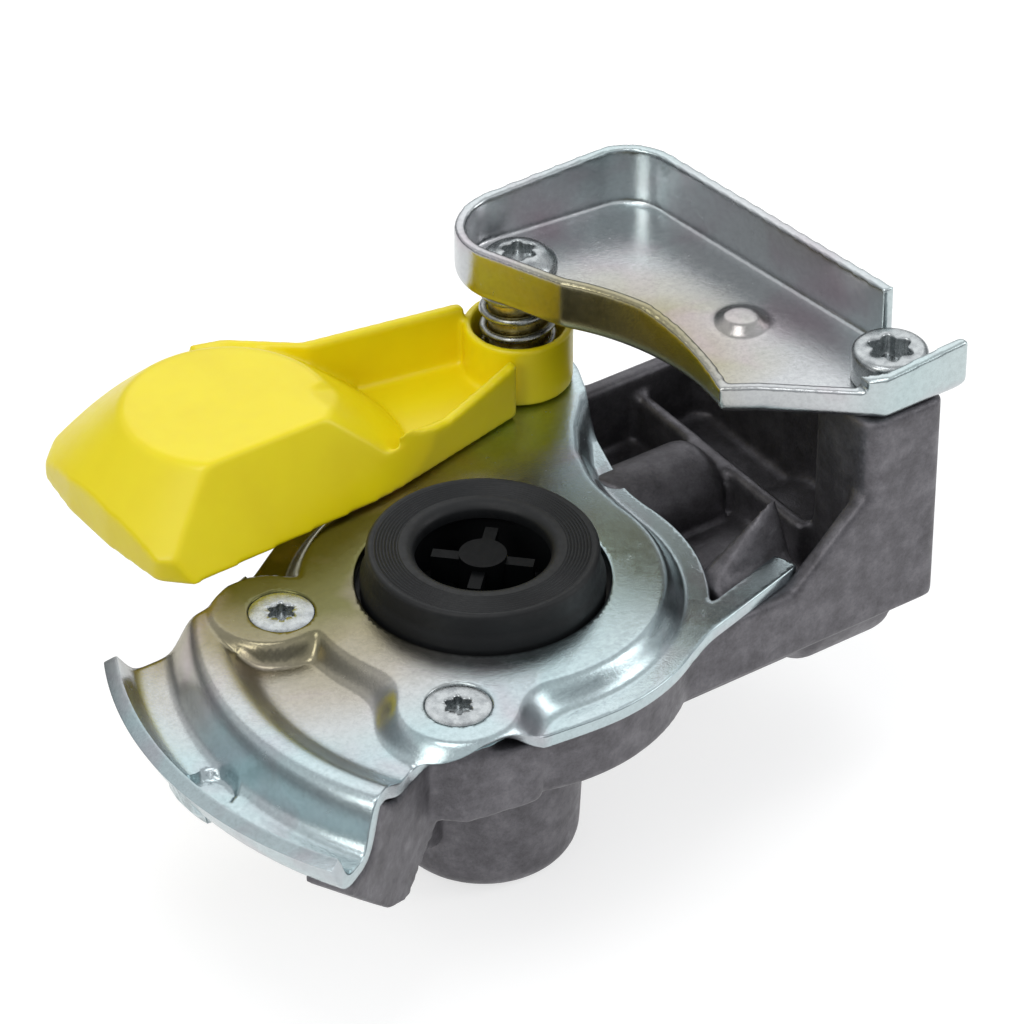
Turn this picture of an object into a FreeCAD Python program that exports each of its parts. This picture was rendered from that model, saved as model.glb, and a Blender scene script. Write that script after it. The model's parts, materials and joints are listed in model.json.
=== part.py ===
import FreeCAD, Part
import math
import os
import Sketcher

# Palm coupling for a trailer air brake line, in millimetres.
# The origin is the centre of the sealing ring's coupling face. +Z points out of that face, towards the
# mating coupling, and +X points along the casting to the port.

V = FreeCAD.Vector
UP = V(0, 0, 1)

SIZES = {
    # Sheet steel of the two stamped plates
    "claw_sheet": 2.5,
    "seat_gap": 0.05,
    "guide_sheet": 2.0,
    # Claw plate: the dish round the seal
    "plate_top_z": -6.5,
    "plate_hole_radius": 21.3,
    "dish_flat_radius": 30.5,
    "dish_foot_radius": 34.2,
    "dish_edge_radius": 36.8,
    "dish_floor_z": -10.5,
    # Claw plate: the band that hooks under the mating guide plate
    "claw_centre_y": -11.0,
    "claw_first_angle": 146.0,
    "claw_last_angle": 210.0,
    "claw_side_y": 19.5,
    "claw_rise_radius": 46.0,
    "claw_rise_width": 4.0,
    "claw_crest_width": 4.6,
    "claw_crest_z": -7.0,
    "claw_fall_width": 3.0,
    "trough_width": 4.8,
    "trough_first_z": -13.2,
    "trough_last_z": -15.4,
    "rim_width": 4.4,
    "rim_first_z": -8.4,
    "rim_last_z": -9.0,
    "claw_rise_bend": 5.0,
    "crest_inner_bend": 4.5,
    "crest_outer_bend": 3.2,
    "trough_inner_bend": 2.0,
    "trough_outer_bend": 2.5,
    "dish_inner_bend": 3.5,
    "dish_outer_bend": 1.5,
    "detent_angle": 181.5,
    "detent_radius": 4.2,
    "detent_depth": 1.6,
    # Claw plate: screw pads, the arm to the cap's pivot and the tongue beside the block
    "screw_circle_radius": 34.5,
    "screw_left_angle": 161.0,
    "screw_right_angle": 228.7,
    "pad_top_radius": 7.6,
    "pad_foot_radius": 11.6,
    "arm_end_radius": 11.0,
    "arm_outer_x": 34.5,
    "tongue_tip_x": 47.5,
    "tongue_tip_y": -22.8,
    "tongue_width": 3.6,
    # Cap pivot
    "pivot_x": 38.0,
    "pivot_y": 44.0,
    # Guide plate, a stamped tray
    "guide_floor_z": 15.0,
    "guide_wall_top_z": 28.0,
    "guide_arc_radius": 42.0,
    "guide_end_radius": 11.0,
    "guide_corner_x": 46.0,
    "guide_corner_y": -13.5,
    "guide_front_x": 62.5,
    "guide_front_y": -27.5,
    "guide_tip_x": 79.5,
    "guide_back_x": 76.5,
    "guide_back_y": -11.5,
    "guide_far_x": 69.5,
    "guide_far_y": 52.0,
    "guide_corner_radius": 8.0,
    "guide_front_round": 6.0,
    "guide_left_top_z": 25.5,
    "guide_dip_z": 21.0,
    "guide_tip_z": 26.0,
    "guide_bump_x": 59.0,
    "guide_bump_y": 8.0,
    "guide_bump_radius": 5.0,
    "guide_bump_height": 1.6,
    # Fasteners
    "thread_gap": 0.05,
    "bolt_x": 69.5,
    "bolt_y": -19.0,
    "bolt_radius": 4.0,
    "bolt_length": 26.0,
    "bolt_head_radius": 6.5,
    "bolt_head_height": 6.0,
    "bolt_socket_radius": 3.9,
    "bolt_socket_depth": 3.8,
    "claw_screw_radius": 3.0,
    "claw_screw_length": 16.0,
    "claw_screw_head_radius": 5.5,
    "claw_screw_rim": 0.4,
    "claw_socket_radius": 2.3,
    "claw_socket_depth": 2.0,
    "pivot_screw_radius": 4.0,
    "pivot_screw_length": 34.0,
    "pivot_head_radius": 6.8,
    "pivot_head_height": 3.2,
    # Sealing ring and the rings under it
    "seal_radius": 19.5,
    "seal_foot_radius": 20.5,
    "seal_bore_radius": 12.0,
    "seal_lip_radius": 11.4,
    "seal_throat_radius": 14.0,
    "seal_flange_radius": 24.0,
    "seal_flange_z": -9.2,
    "seal_under_z": -13.0,
    "support_ring_height": 2.0,
    "ring_gap": 0.2,
    # Casting
    "chamber_radius": 36.0,
    "chamber_foot_radius": 35.2,
    "chamber_bottom_z": -26.0,
    "chamber_bore_gap": 0.8,
    "chamber_ledge_z": -18.0,
    "valve_bore_radius": 15.5,
    "valve_bore_z": -32.0,
    "boss_radius": 18.0,
    "boss_foot_radius": 16.2,
    "boss_bottom_z": -62.0,
    "boss_round": 5.0,
    "boss_bore_radius": 12.5,
    "boss_bore_z": -57.0,
    "backing_radius": 41.0,
    "screw_boss_radius": 7.0,
    "rib_thickness": 7.0,
    "rib_inset": 1.3,
    "rib_outer_z": -17.5,
    "rib_inner": 29.0,
    "leg_radius": 49.0,
    "leg_width": 6.0,
    "leg_bottom_z": -36.0,
    "web_thickness": 4.0,
    "web_bottom_z": -52.0,
    "block_start_x": 20.0,
    "block_end_x": 76.0,
    "block_front_y": -27.0,
    "block_back_y": 39.0,
    "block_wall": 3.6,
    "pillar_x": 59.5,
    "pillar_y": -11.0,
    "end_rise_y": 20.0,
    "end_rise_z": -3.0,
    "slope_start_x": 45.0,
    "slope_end_z": -0.5,
    "post_radius": 10.5,
    "port_z": -33.5,
    "port_tube_radius": 13.4,
    "port_collar_radius": 14.8,
    "port_collar_x": 60.0,
    "port_face_x": 77.5,
    "port_thread_radius": 10.2,
    "port_thread_length": 16.0,
    "passage_radius": 6.0,
    "tube_start_x": 9.0,
    "inner_tube_radius": 8.5,
    "inner_tube_start_x": 26.0,
    "inner_tube_end_x": 56.0,
    "inner_tube_y": 14.0,
    "cavity_rib_x": 57.0,
    "cavity_rib_wall": 2.5,
    "cavity_rib_y": -12.0,
    "stop_tip_x": 51.0,
    "stop_tip_y": -13.5,
    "stop_tip_z": -3.0,
    # Valve
    "guide_flange_height": 3.0,
    "guide_skirt_wall": 2.2,
    "valve_seat_z": -27.0,
    "valve_seat_radius": 9.5,
    "hub_radius": 5.0,
    "spoke_width": 2.4,
    "spoke_count": 4,
    "stem_radius": 3.0,
    "stem_gap": 0.06,
    "plunger_top_z": -1.6,
    "plunger_head_radius": 8.6,
    "plunger_fin": 2.2,
    "valve_travel": 3.5,
    "disc_radius": 12.0,
    "disc_height": 3.0,
    "disc_washer_height": 1.2,
    "rivet_shank_radius": 1.45,
    "rivet_shank_gap": 0.05,
    "rivet_hole_gap": 0.15,
    "rivet_reach": 7.5,
    "rivet_hole_depth": 8.0,
    "rivet_head_radius": 3.6,
    "rivet_head_edge": 0.9,
    "rivet_head_height": 1.6,
    "valve_wire": 1.6,
    "valve_coil_radius": 8.6,
    "valve_coil_turns": 5.0,
    "cup_height": 3.0,
    "face_gap": 0.1,
    # Dust cap
    "cap_bottom_z": -6.2,
    "cap_dome_x": -20.5,
    "cap_dome_y": 46.4,
    "cap_dome_radius": 17.5,
    "cap_dome_foot": 31.0,
    "cap_dome_z": 10.0,
    "cap_band_z": -2.5,
    "cap_far_x": -47.0,
    "cap_front_y": 24.2,
    "cap_back_y": 70.0,
    "cap_corner": 5.0,
    "cap_waist_x": 2.0,
    "cap_waist_front_y": 27.6,
    "cap_waist_back_y": 57.5,
    "cap_neck_x": 31.0,
    "cap_neck_front_y": 34.0,
    "cap_neck_back_y": 52.0,
    "cap_ridge_y": 33.4,
    "cap_wall": 2.2,
    "cap_channel_z": -3.5,
    "cap_back_z": 8.0,
    "cap_sag_z": 1.6,
    "cap_hub_radius": 9.6,
    "cap_hub_z": 5.6,
    "cap_cup_radius": 8.15,
    "cap_hub_floor": 2.4,
    "sleeve_radius": 5.2,
    "sleeve_gap": 0.08,
    "washer_height": 0.8,
    "cap_wire": 1.4,
    "cap_coil_radius": 6.85,
    "cap_coil_turns": 5.5,
}

doc = FreeCAD.newDocument("palm_coupling")
sheet = doc.addObject("Spreadsheet::Sheet", "dims")
for row, (word, value) in enumerate(SIZES.items(), start=1):
    sheet.set("A%d" % row, word)
    sheet.set("B%d" % row, str(value))
    sheet.setAlias("B%d" % row, word)
doc.recompute()

# Derived places, written once and used by every piece that shares them.
PLATE_UNDER = "(dims.plate_top_z - dims.claw_sheet)"
DISH_UNDER = "(dims.dish_floor_z - dims.claw_sheet)"
GUIDE_TOP = "(dims.guide_floor_z + dims.guide_sheet)"
SCREW_LEFT = ("(dims.screw_circle_radius * cos(dims.screw_left_angle * 1deg))",
              "(dims.screw_circle_radius * sin(dims.screw_left_angle * 1deg))")
SCREW_RIGHT = ("(dims.screw_circle_radius * cos(dims.screw_right_angle * 1deg))",
               "(dims.screw_circle_radius * sin(dims.screw_right_angle * 1deg))")
PIVOT = ("dims.pivot_x", "dims.pivot_y")
BOLT = ("dims.bolt_x", "dims.bolt_y")
SUPPORT_UNDER = "(dims.seal_under_z - dims.support_ring_height)"
DISC_TOP = "(dims.valve_seat_z - dims.face_gap)"
DISC_UNDER = "(dims.valve_seat_z - dims.face_gap - dims.disc_height)"
WASHER_UNDER = "(dims.valve_seat_z - dims.face_gap - dims.disc_height - dims.disc_washer_height)"
CAP_FLOOR = "(dims.cap_bottom_z + dims.cap_hub_floor)"
RIVET_HOLE = "(dims.rivet_shank_radius + dims.rivet_hole_gap)"


def number(expression):
    value = sheet.evalExpression(expression)
    return float(getattr(value, "Value", value))


def size(word):
    return float(sheet.get(word))


def bind(obj, **expressions):
    for name, expression in expressions.items():
        obj.setExpression(name, expression)
    return obj


def place(obj, x="0", y="0", z="0"):
    obj.setExpression("Placement.Base.x", x)
    obj.setExpression("Placement.Base.y", y)
    obj.setExpression("Placement.Base.z", z)
    return obj


def label(obj, node):
    obj.Label = node
    return obj


def cylinder(name, radius, low, high, x="0", y="0"):
    solid = doc.addObject("Part::Cylinder", name)
    bind(solid, Radius=radius, Height="%s - %s" % (high, low))
    return place(solid, x, y, low)


def lying_cylinder(name, radius, start, end, y, z):
    # A cylinder along X from start to end.
    solid = doc.addObject("Part::Cylinder", name)
    bind(solid, Radius=radius, Height="%s - %s" % (end, start))
    solid.Placement.Rotation = FreeCAD.Rotation(V(0, 1, 0), 90)
    return place(solid, start, y, z)


def cone(name, low_radius, high_radius, low, high, x="0", y="0"):
    solid = doc.addObject("Part::Cone", name)
    bind(solid, Radius1=low_radius, Radius2=high_radius, Height="%s - %s" % (high, low))
    return place(solid, x, y, low)


def box(name, x_span, y_span, z_span):
    solid = doc.addObject("Part::Box", name)
    bind(solid,
         Length="%s - %s" % (x_span[1], x_span[0]),
         Width="%s - %s" % (y_span[1], y_span[0]),
         Height="%s - %s" % (z_span[1], z_span[0]))
    return place(solid, x_span[0], y_span[0], z_span[0])


def fuse(name, solids):
    joined = doc.addObject("Part::MultiFuse", name)
    joined.Shapes = solids
    joined.Refine = True
    return joined


def common(name, solids):
    shared = doc.addObject("Part::MultiCommon", name)
    shared.Shapes = solids
    return shared


def cut(name, base, tools):
    # Part::Cut takes one tool, so several are fused first.
    tool = tools[0] if len(tools) == 1 else fuse(name + "_tools", tools)
    result = doc.addObject("Part::Cut", name)
    result.Base = base
    result.Tool = tool
    result.Refine = True
    return result


def rounded(name, base, radius, wanted):
    # Rounds the edges of base for which wanted(edge) holds.
    doc.recompute()
    value = number(radius)
    fillet = doc.addObject("Part::Fillet", name)
    fillet.Base = base
    fillet.Edges = [(index, value, value) for index, edge in enumerate(base.Shape.Edges, start=1)
                    if wanted(edge)]
    return fillet


def upright(edge):
    ends = [vertex.Point for vertex in edge.Vertexes]
    return len(ends) == 2 and abs(ends[0].x - ends[1].x) + abs(ends[0].y - ends[1].y) < 0.001


def circle_at(level):
    return lambda edge: edge.BoundBox.ZLength < 0.001 and abs(edge.BoundBox.ZMin - level) < 0.001


def sketch(body, name, role, points):
    # A closed outline whose corners are bound to the sheet, in the body's own origin plane.
    outline = body.newObject("Sketcher::SketchObject", name)
    plane = [item for item in body.Origin.OriginFeatures if item.Role == role][0]
    outline.AttachmentSupport = (plane, [""])
    outline.MapMode = "FlatFace"
    corners = [V(number(x), number(y), 0) for x, y in points]
    for index, corner in enumerate(corners):
        outline.addGeometry(Part.LineSegment(corner, corners[(index + 1) % len(corners)]), False)
    for index in range(len(corners)):
        following = (index + 1) % len(corners)
        outline.addConstraint(Sketcher.Constraint("Coincident", index, 2, following, 1))
    for index, corner in enumerate(corners):
        for kind, expression, value in (("DistanceX", points[index][0], corner.x),
                                        ("DistanceY", points[index][1], corner.y)):
            constraint = Sketcher.Constraint(kind, -1, 1, index, 1, value)
            number_of = outline.addConstraint(constraint)
            outline.setExpression("Constraints[%d]" % number_of, expression)
    return outline


def turned(name, points, x="0", y="0"):
    # A piece turned about its own upright axis from (radius, height) points.
    body = doc.addObject("PartDesign::Body", name)
    outline = sketch(body, name + "_section", "XZ_Plane", points)
    turn = body.newObject("PartDesign::Revolution", name + "_turn")
    turn.Profile = outline
    turn.ReferenceAxis = (outline, ["V_Axis"])
    turn.Angle = 360
    body.Tip = turn
    place(body, x, y, "0")
    doc.recompute()
    return body


def prism(name, points, low, high, role="XY_Plane"):
    # A piece extruded from an outline. In the side planes the outline's second coordinate is height.
    body = doc.addObject("PartDesign::Body", name)
    outline = sketch(body, name + "_outline", role, points)
    pad = body.newObject("PartDesign::Pad", name + "_pad")
    pad.Profile = outline
    bind(pad, Length="%s - %s" % (high, low))
    body.Tip = pad
    doc.recompute()
    bounds = pad.Shape.BoundBox
    axis = {"XY_Plane": "z", "XZ_Plane": "y", "YZ_Plane": "x"}[role]
    if getattr(bounds, axis.upper() + "Min") < -0.001:
        pad.Reversed = True
    shift = {"x": "0", "y": "0", "z": "0"}
    shift[axis] = low
    place(body, **shift)
    doc.recompute()
    return body


def coil(name, wire_radius, coil_radius, turns, low, high, x="0", y="0"):
    # A compression spring: one round wire swept along a helix whose ends stop a wire radius short.
    helix = doc.addObject("Part::Helix", name + "_path")
    helix.Style = 1
    helix.SegmentLength = 1
    span = "(%s - %s - 2 * %s)" % (high, low, wire_radius)
    bind(helix, Radius=coil_radius, Height=span, Pitch="%s / %s" % (span, turns))
    place(helix, x, y, "%s + %s" % (low, wire_radius))
    ring = doc.addObject("Part::Circle", name + "_wire")
    bind(ring, Radius=wire_radius)
    ring.Placement.Rotation = FreeCAD.Rotation(V(1, 0, 0), 90)
    place(ring, "%s + %s" % (x, coil_radius), y, "%s + %s" % (low, wire_radius))
    sweep = doc.addObject("Part::Sweep", name)
    sweep.Sections = [ring]
    sweep.Spine = (helix, [])
    sweep.Solid = True
    sweep.Frenet = True
    return sweep


def bent_line(points, bends, place_point):
    # Straight runs joined by tangent arcs. place_point turns a (along, height) pair into a point.
    corners = [place_point(along, height) for along, height in points]
    edges = []
    first = corners[0]
    start = first
    for index in range(1, len(corners) - 1):
        before = (corners[index - 1] - corners[index]).normalize()
        after = (corners[index + 1] - corners[index]).normalize()
        half_turn = (math.pi - before.getAngle(after)) / 2
        reach = bends[index - 1] * math.tan(half_turn)
        middle = (before + after).normalize()
        centre = corners[index] + middle * (bends[index - 1] / math.cos(half_turn))
        arc_start = corners[index] + before * reach
        arc_end = corners[index] + after * reach
        arc_middle = centre - middle * bends[index - 1]
        edges.append(Part.LineSegment(start, arc_start).toShape())
        edges.append(Part.Arc(arc_start, arc_middle, arc_end).toShape())
        start = arc_end
    edges.append(Part.LineSegment(start, corners[-1]).toShape())
    return edges, first, corners[-1]


def sheet_sides(points, bends, thickness, place_point):
    # The upper and lower side of a bent sheet whose upper side runs through the points. Each bend that
    # is convex above keeps its radius there and loses the sheet's thickness below.
    lower_points = []
    lower_bends = []
    last = len(points) - 1
    for index, (along, height) in enumerate(points):
        normals = []
        for first, second in ((index - 1, index), (index, index + 1)):
            if 0 <= first and second <= last:
                run = points[second][0] - points[first][0]
                rise = points[second][1] - points[first][1]
                length = math.hypot(run, rise)
                normals.append((rise / length, -run / length))
        if len(normals) == 1:
            shift = normals[0]
        else:
            total = (normals[0][0] + normals[1][0], normals[0][1] + normals[1][1])
            scale = 1 + normals[0][0] * normals[1][0] + normals[0][1] * normals[1][1]
            shift = (total[0] / scale, total[1] / scale)
            turn = normals[0][0] * normals[1][1] - normals[0][1] * normals[1][0]
            lower_bends.append(bends[index - 1] + (thickness if turn > 0 else -thickness))
        lower_points.append((along + shift[0] * thickness, height + shift[1] * thickness))
    return bent_line(points, bends, place_point), bent_line(lower_points, lower_bends, place_point)


def closed(edges):
    return Part.Wire(Part.sortEdges(edges)[0])


def strip(points, bends, thickness, place_point):
    # The closed section of the sheet itself.
    (upper, upper_start, upper_end), (lower, lower_start, lower_end) = sheet_sides(
        points, bends, thickness, place_point)
    ends = [Part.LineSegment(upper_end, lower_end).toShape(),
            Part.LineSegment(lower_start, upper_start).toShape()]
    return closed(upper + lower + ends)


def room_above(points, bends, thickness, place_point, level):
    # The closed section of the sheet with all the space over it, up to a level.
    _, (lower, lower_start, lower_end) = sheet_sides(points, bends, thickness, place_point)
    high_start = V(lower_start.x, lower_start.y, level)
    high_end = V(lower_end.x, lower_end.y, level)
    ends = [Part.LineSegment(lower_start, high_start).toShape(),
            Part.LineSegment(high_start, high_end).toShape(),
            Part.LineSegment(high_end, lower_end).toShape()]
    return closed(lower + ends)


def frustum(top_radius, foot_radius, low, high, x, y):
    return Part.makeCone(foot_radius, top_radius, high - low, V(x, y, low), UP)


# Claw plate


def claw_radii():
    # The distances of the section's corners from the claw's own centre, each a width on from the last.
    radii = [size("claw_rise_radius")]
    for word in ("claw_rise_width", "claw_crest_width", "claw_fall_width", "trough_width", "rim_width"):
        radii.append(radii[-1] + size(word))
    return radii


def claw_profile(fraction):
    # One section through the band, from the pocket's floor over the crest and trough to the rim.
    # fraction is 0 at the leading end, where the trough is shallow, and 1 at the trailing end.
    trough = size("trough_first_z") + fraction * (size("trough_last_z") - size("trough_first_z"))
    rim = size("rim_first_z") + fraction * (size("rim_last_z") - size("rim_first_z"))
    crest = size("claw_crest_z")
    floor = size("dish_floor_z")
    heights = [floor, crest, crest, trough, trough, rim]
    points = [(size("plate_hole_radius") + 2 * size("claw_sheet"), floor)]
    points += list(zip(claw_radii(), heights))
    bends = [size(word) for word in ("claw_rise_bend", "crest_inner_bend", "crest_outer_bend",
                                     "trough_inner_bend", "trough_outer_bend")]
    return points, bends


def claw_point(fraction):
    # Turns a place in the section at this fraction into a point.
    angle = math.radians(size("claw_first_angle")
                         + fraction * (size("claw_last_angle") - size("claw_first_angle")))

    def point(along, height):
        return V(along * math.cos(angle), size("claw_centre_y") + along * math.sin(angle), height)

    return point


def claw_section(fraction):
    points, bends = claw_profile(fraction)
    return strip(points, bends, size("claw_sheet"), claw_point(fraction))


def claw_room():
    # The claw's sheet and the space over it, which the casting leaves free.
    sections = []
    for fraction in (0.7, 0.8, 0.9, 1.0, 1.1):
        points, bends = claw_profile(fraction)
        sections.append(room_above(points, bends, size("claw_sheet") + size("seat_gap"),
                                   claw_point(fraction), 20))
    return Part.makeLoft(sections, True, False)


def dish_section():
    points = [
        (size("plate_hole_radius"), size("plate_top_z")),
        (size("dish_flat_radius"), size("plate_top_z")),
        (size("dish_foot_radius"), size("dish_floor_z")),
        (size("dish_edge_radius"), size("dish_floor_z")),
    ]
    bends = [size("dish_inner_bend"), size("dish_outer_bend")]
    return strip(points, bends, size("claw_sheet"), lambda along, height: V(along, 0, height))


def screw_places():
    return [(number(x), number(y)) for x, y in (SCREW_LEFT, SCREW_RIGHT)]


def plate_arm():
    # The flat arm that carries the cap's pivot, with a round end.
    low = number(PLATE_UNDER)
    pivot = V(size("pivot_x"), size("pivot_y"), low)
    outline = Part.makePolygon([
        V(0, size("plate_hole_radius") + 4, low),
        V(pivot.x - size("arm_end_radius") * 0.83, pivot.y + size("arm_end_radius") * 0.56, low),
        V(pivot.x + size("arm_end_radius") * 0.93, pivot.y - size("arm_end_radius") * 0.37, low),
        V(size("arm_outer_x"), 6, low),
        V(size("plate_hole_radius") + 4, -4, low),
        V(0, size("plate_hole_radius") + 4, low),
    ])
    flat = Part.Face(outline).extrude(UP * size("claw_sheet"))
    end = Part.makeCylinder(size("arm_end_radius"), size("claw_sheet"), pivot, UP)
    return flat.fuse(end)


def plate_tongue():
    # A narrow strip along the front of the block, level with the dish's flange.
    low = number(DISH_UNDER)
    tip = V(size("tongue_tip_x"), size("tongue_tip_y"), low)
    root = V(size("dish_edge_radius") * 0.56, -size("dish_edge_radius") * 0.82, low)
    along = (tip - root).normalize()
    side = V(-along.y, along.x, 0) * size("tongue_width")
    outline = Part.makePolygon([root, tip, tip + side, root + side - along * 6, root])
    flat = Part.Face(outline).extrude(UP * size("claw_sheet"))
    half = size("tongue_width") / 2
    end = Part.makeCylinder(half, size("claw_sheet"), tip + side * 0.5, UP)
    return flat.fuse(end)


def make_claw_plate():
    under = number(DISH_UNDER) - 0.5
    dish = Part.Face(dish_section()).revolve(V(0, 0, 0), UP, 360)
    stations = [claw_section(step / 4.0) for step in range(5)]
    band = Part.makeLoft(stations, True, False)
    keep = Part.makeBox(200, 200, 60, V(-200, size("claw_side_y") - 200, -40))
    core = Part.makeCylinder(size("dish_foot_radius") + 0.6, 60, V(0, 0, -40), UP)
    band = band.common(keep).cut(core)
    plate = dish.fuse([band, plate_arm(), plate_tongue()])
    flat = Part.makeCylinder(size("dish_flat_radius") - 1, 60, V(0, 0, -40), UP)
    for x, y in screw_places():
        plate = plate.fuse(frustum(size("pad_top_radius"), size("pad_foot_radius"), size("dish_floor_z"),
                                   size("plate_top_z"), x, y).cut(flat))
    slant = size("claw_sheet") * 0.5
    hollows = [frustum(size("pad_top_radius") - slant, size("pad_foot_radius") - slant,
                       under, number(PLATE_UNDER), x, y) for x, y in screw_places()]
    hole = Part.makeCylinder(size("plate_hole_radius"), 40, V(0, 0, -30), UP)
    screw_holes = []
    for x, y in screw_places():
        sink = size("claw_screw_head_radius") - size("claw_screw_radius")
        screw_holes.append(Part.makeCylinder(size("claw_screw_radius") + 0.3, 20, V(x, y, -24), UP))
        screw_holes.append(Part.makeCone(
            size("claw_screw_radius") + 0.1, size("claw_screw_head_radius") + 0.1, sink,
            V(x, y, size("plate_top_z") - size("claw_screw_rim") - sink), UP))
        screw_holes.append(Part.makeCylinder(
            size("claw_screw_head_radius") + 0.1, 5,
            V(x, y, size("plate_top_z") - size("claw_screw_rim")), UP))
    pivot_hole = Part.makeCylinder(size("pivot_screw_radius") + 0.2, 40,
                                   V(size("pivot_x"), size("pivot_y"), -20), UP)
    plate = plate.cut(hollows + [hole, pivot_hole] + screw_holes)
    detent = math.radians(size("detent_angle"))
    along = claw_radii()[3] + size("trough_width") * 0.7
    share = ((size("detent_angle") - size("claw_first_angle"))
             / (size("claw_last_angle") - size("claw_first_angle")))
    floor = size("trough_first_z") + share * (size("trough_last_z") - size("trough_first_z"))
    dimple = Part.makeCylinder(
        size("detent_radius"), size("detent_depth") * 2,
        V(along * math.cos(detent), size("claw_centre_y") + along * math.sin(detent),
          floor - size("detent_depth")), UP)
    plate = plate.cut(dimple)
    piece = doc.addObject("Part::Feature", "claw_plate")
    piece.Shape = plate.removeSplitter()
    return label(piece, "claw_plate")


# Guide plate


def guide_outline():
    # The tray's outer outline: a round end about the pivot, an arc about the seal that guides the
    # mating claw, the front wall, the open end, the back wall and one round corner.
    level = size("guide_floor_z")
    pivot = V(size("pivot_x"), size("pivot_y"), level)
    end_radius = size("guide_end_radius")
    far = V(size("guide_far_x"), size("guide_far_y"), level)
    back = V(size("guide_back_x"), size("guide_back_y"), level)
    tip = V(size("guide_tip_x"), size("guide_front_y"), level)
    front = V(size("guide_front_x"), size("guide_front_y"), level)
    corner = V(size("guide_corner_x"), size("guide_corner_y"), level)
    arc_radius = size("guide_arc_radius")

    def on_arc(degrees):
        return V(arc_radius * math.cos(math.radians(degrees)),
                 arc_radius * math.sin(math.radians(degrees)), level)

    def on_end(degrees):
        return pivot + V(math.cos(math.radians(degrees)), math.sin(math.radians(degrees)), 0) * end_radius

    reach = size("guide_corner_radius")
    bend = size("guide_front_round")
    to_arc = (on_arc(-14) - corner).normalize()
    to_front = (front - corner).normalize()
    half_turn = (math.pi - to_arc.getAngle(to_front)) / 2
    cut_back = bend * math.tan(half_turn)
    bend_middle = corner + (to_arc + to_front).normalize() * (bend / math.cos(half_turn) - bend)
    to_pivot = (on_end(84) - far).normalize()
    to_back = (back - far).normalize()
    edges = [
        Part.Arc(on_end(84), on_end(150), on_end(205)).toShape(),
        Part.LineSegment(on_end(205), on_arc(37)).toShape(),
        Part.Arc(on_arc(37), on_arc(12), on_arc(-14)).toShape(),
        Part.LineSegment(on_arc(-14), corner + to_arc * cut_back).toShape(),
        Part.Arc(corner + to_arc * cut_back, bend_middle, corner + to_front * cut_back).toShape(),
        Part.LineSegment(corner + to_front * cut_back, front).toShape(),
        Part.LineSegment(front, tip).toShape(),
        Part.LineSegment(tip, back).toShape(),
        Part.LineSegment(back, far + to_back * reach).toShape(),
        Part.Arc(far + to_back * reach, far + (to_back + to_pivot) * reach * 0.293,
                 far + to_pivot * reach).toShape(),
        Part.LineSegment(far + to_pivot * reach, on_end(84)).toShape(),
    ]
    return Part.Wire(edges)


def make_guide_plate():
    floor = size("guide_floor_z")
    wall = size("guide_sheet")
    top = size("guide_wall_top_z")
    outer_face = Part.Face(guide_outline())
    inner_face = outer_face.makeOffset2D(-wall)
    outer = outer_face.extrude(UP * (top - floor))
    low_edges = [edge for edge in outer.Edges if circle_at(floor)(edge)
                 and edge.CenterOfMass.distanceToPoint(V(78, -19.5, floor)) > 3]
    outer = outer.makeFillet(wall * 1.5, low_edges)
    inner = inner_face.extrude(UP * (top - floor))
    inner.translate(UP * wall)
    tray = outer.cut(inner)
    # The open end beside the bolt, where the tray has no wall.
    gap_low = V(size("guide_back_x") - 4, size("guide_front_y") + wall, floor + wall)
    gap = Part.makeBox(20, size("guide_back_y") - gap_low.y + 0.4, 40, gap_low)
    tray = tray.cut(gap)
    # The wall tops fall from the round end to the front corner and rise again to the tip.
    side = Part.makePolygon([
        V(0, 50, size("guide_left_top_z")), V(0, 12, size("guide_left_top_z")),
        V(0, -9, size("guide_dip_z")), V(0, -40, size("guide_dip_z")), V(0, -40, 60),
        V(0, 50, 60), V(0, 50, size("guide_left_top_z"))])
    side = Part.Face(side).extrude(V(60, 0, 0))
    front = Part.makePolygon([
        V(40, -60, size("guide_dip_z")), V(52, -60, size("guide_dip_z")),
        V(size("guide_front_x"), -60, size("guide_dip_z") + 3), V(70, -60, size("guide_tip_z") - 1.5),
        V(90, -60, size("guide_tip_z")), V(90, -60, 60), V(40, -60, 60),
        V(40, -60, size("guide_dip_z"))])
    front = Part.Face(front).extrude(V(0, 60 + size("guide_back_y") + 0.5, 0))
    back = Part.makePolygon([
        V(0, 49, size("guide_left_top_z")), V(size("pivot_x") - 6, 49, size("guide_left_top_z")),
        V(size("guide_far_x") - 8, 49, top), V(size("guide_far_x") - 8, 49, 60), V(0, 49, 60),
        V(0, 49, size("guide_left_top_z"))])
    back = Part.Face(back).extrude(V(0, 20, 0))
    tray = tray.cut([side, front, back])
    bump_radius = size("guide_bump_radius")
    bump = Part.makeCone(bump_radius, bump_radius * 0.55, size("guide_bump_height"),
                         V(size("guide_bump_x"), size("guide_bump_y"), floor + wall - 0.01), UP)
    tray = tray.fuse(bump)
    holes = []
    for (x, y), radius in ((BOLT, "bolt_radius"), (PIVOT, "pivot_screw_radius")):
        holes.append(Part.makeCylinder(size(radius) + 0.2, 20, V(number(x), number(y), floor - 5), UP))
    tray = tray.cut(holes)
    piece = doc.addObject("Part::Feature", "guide_plate")
    piece.Shape = tray.removeSplitter()
    return label(piece, "guide_plate")


# Casting


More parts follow.
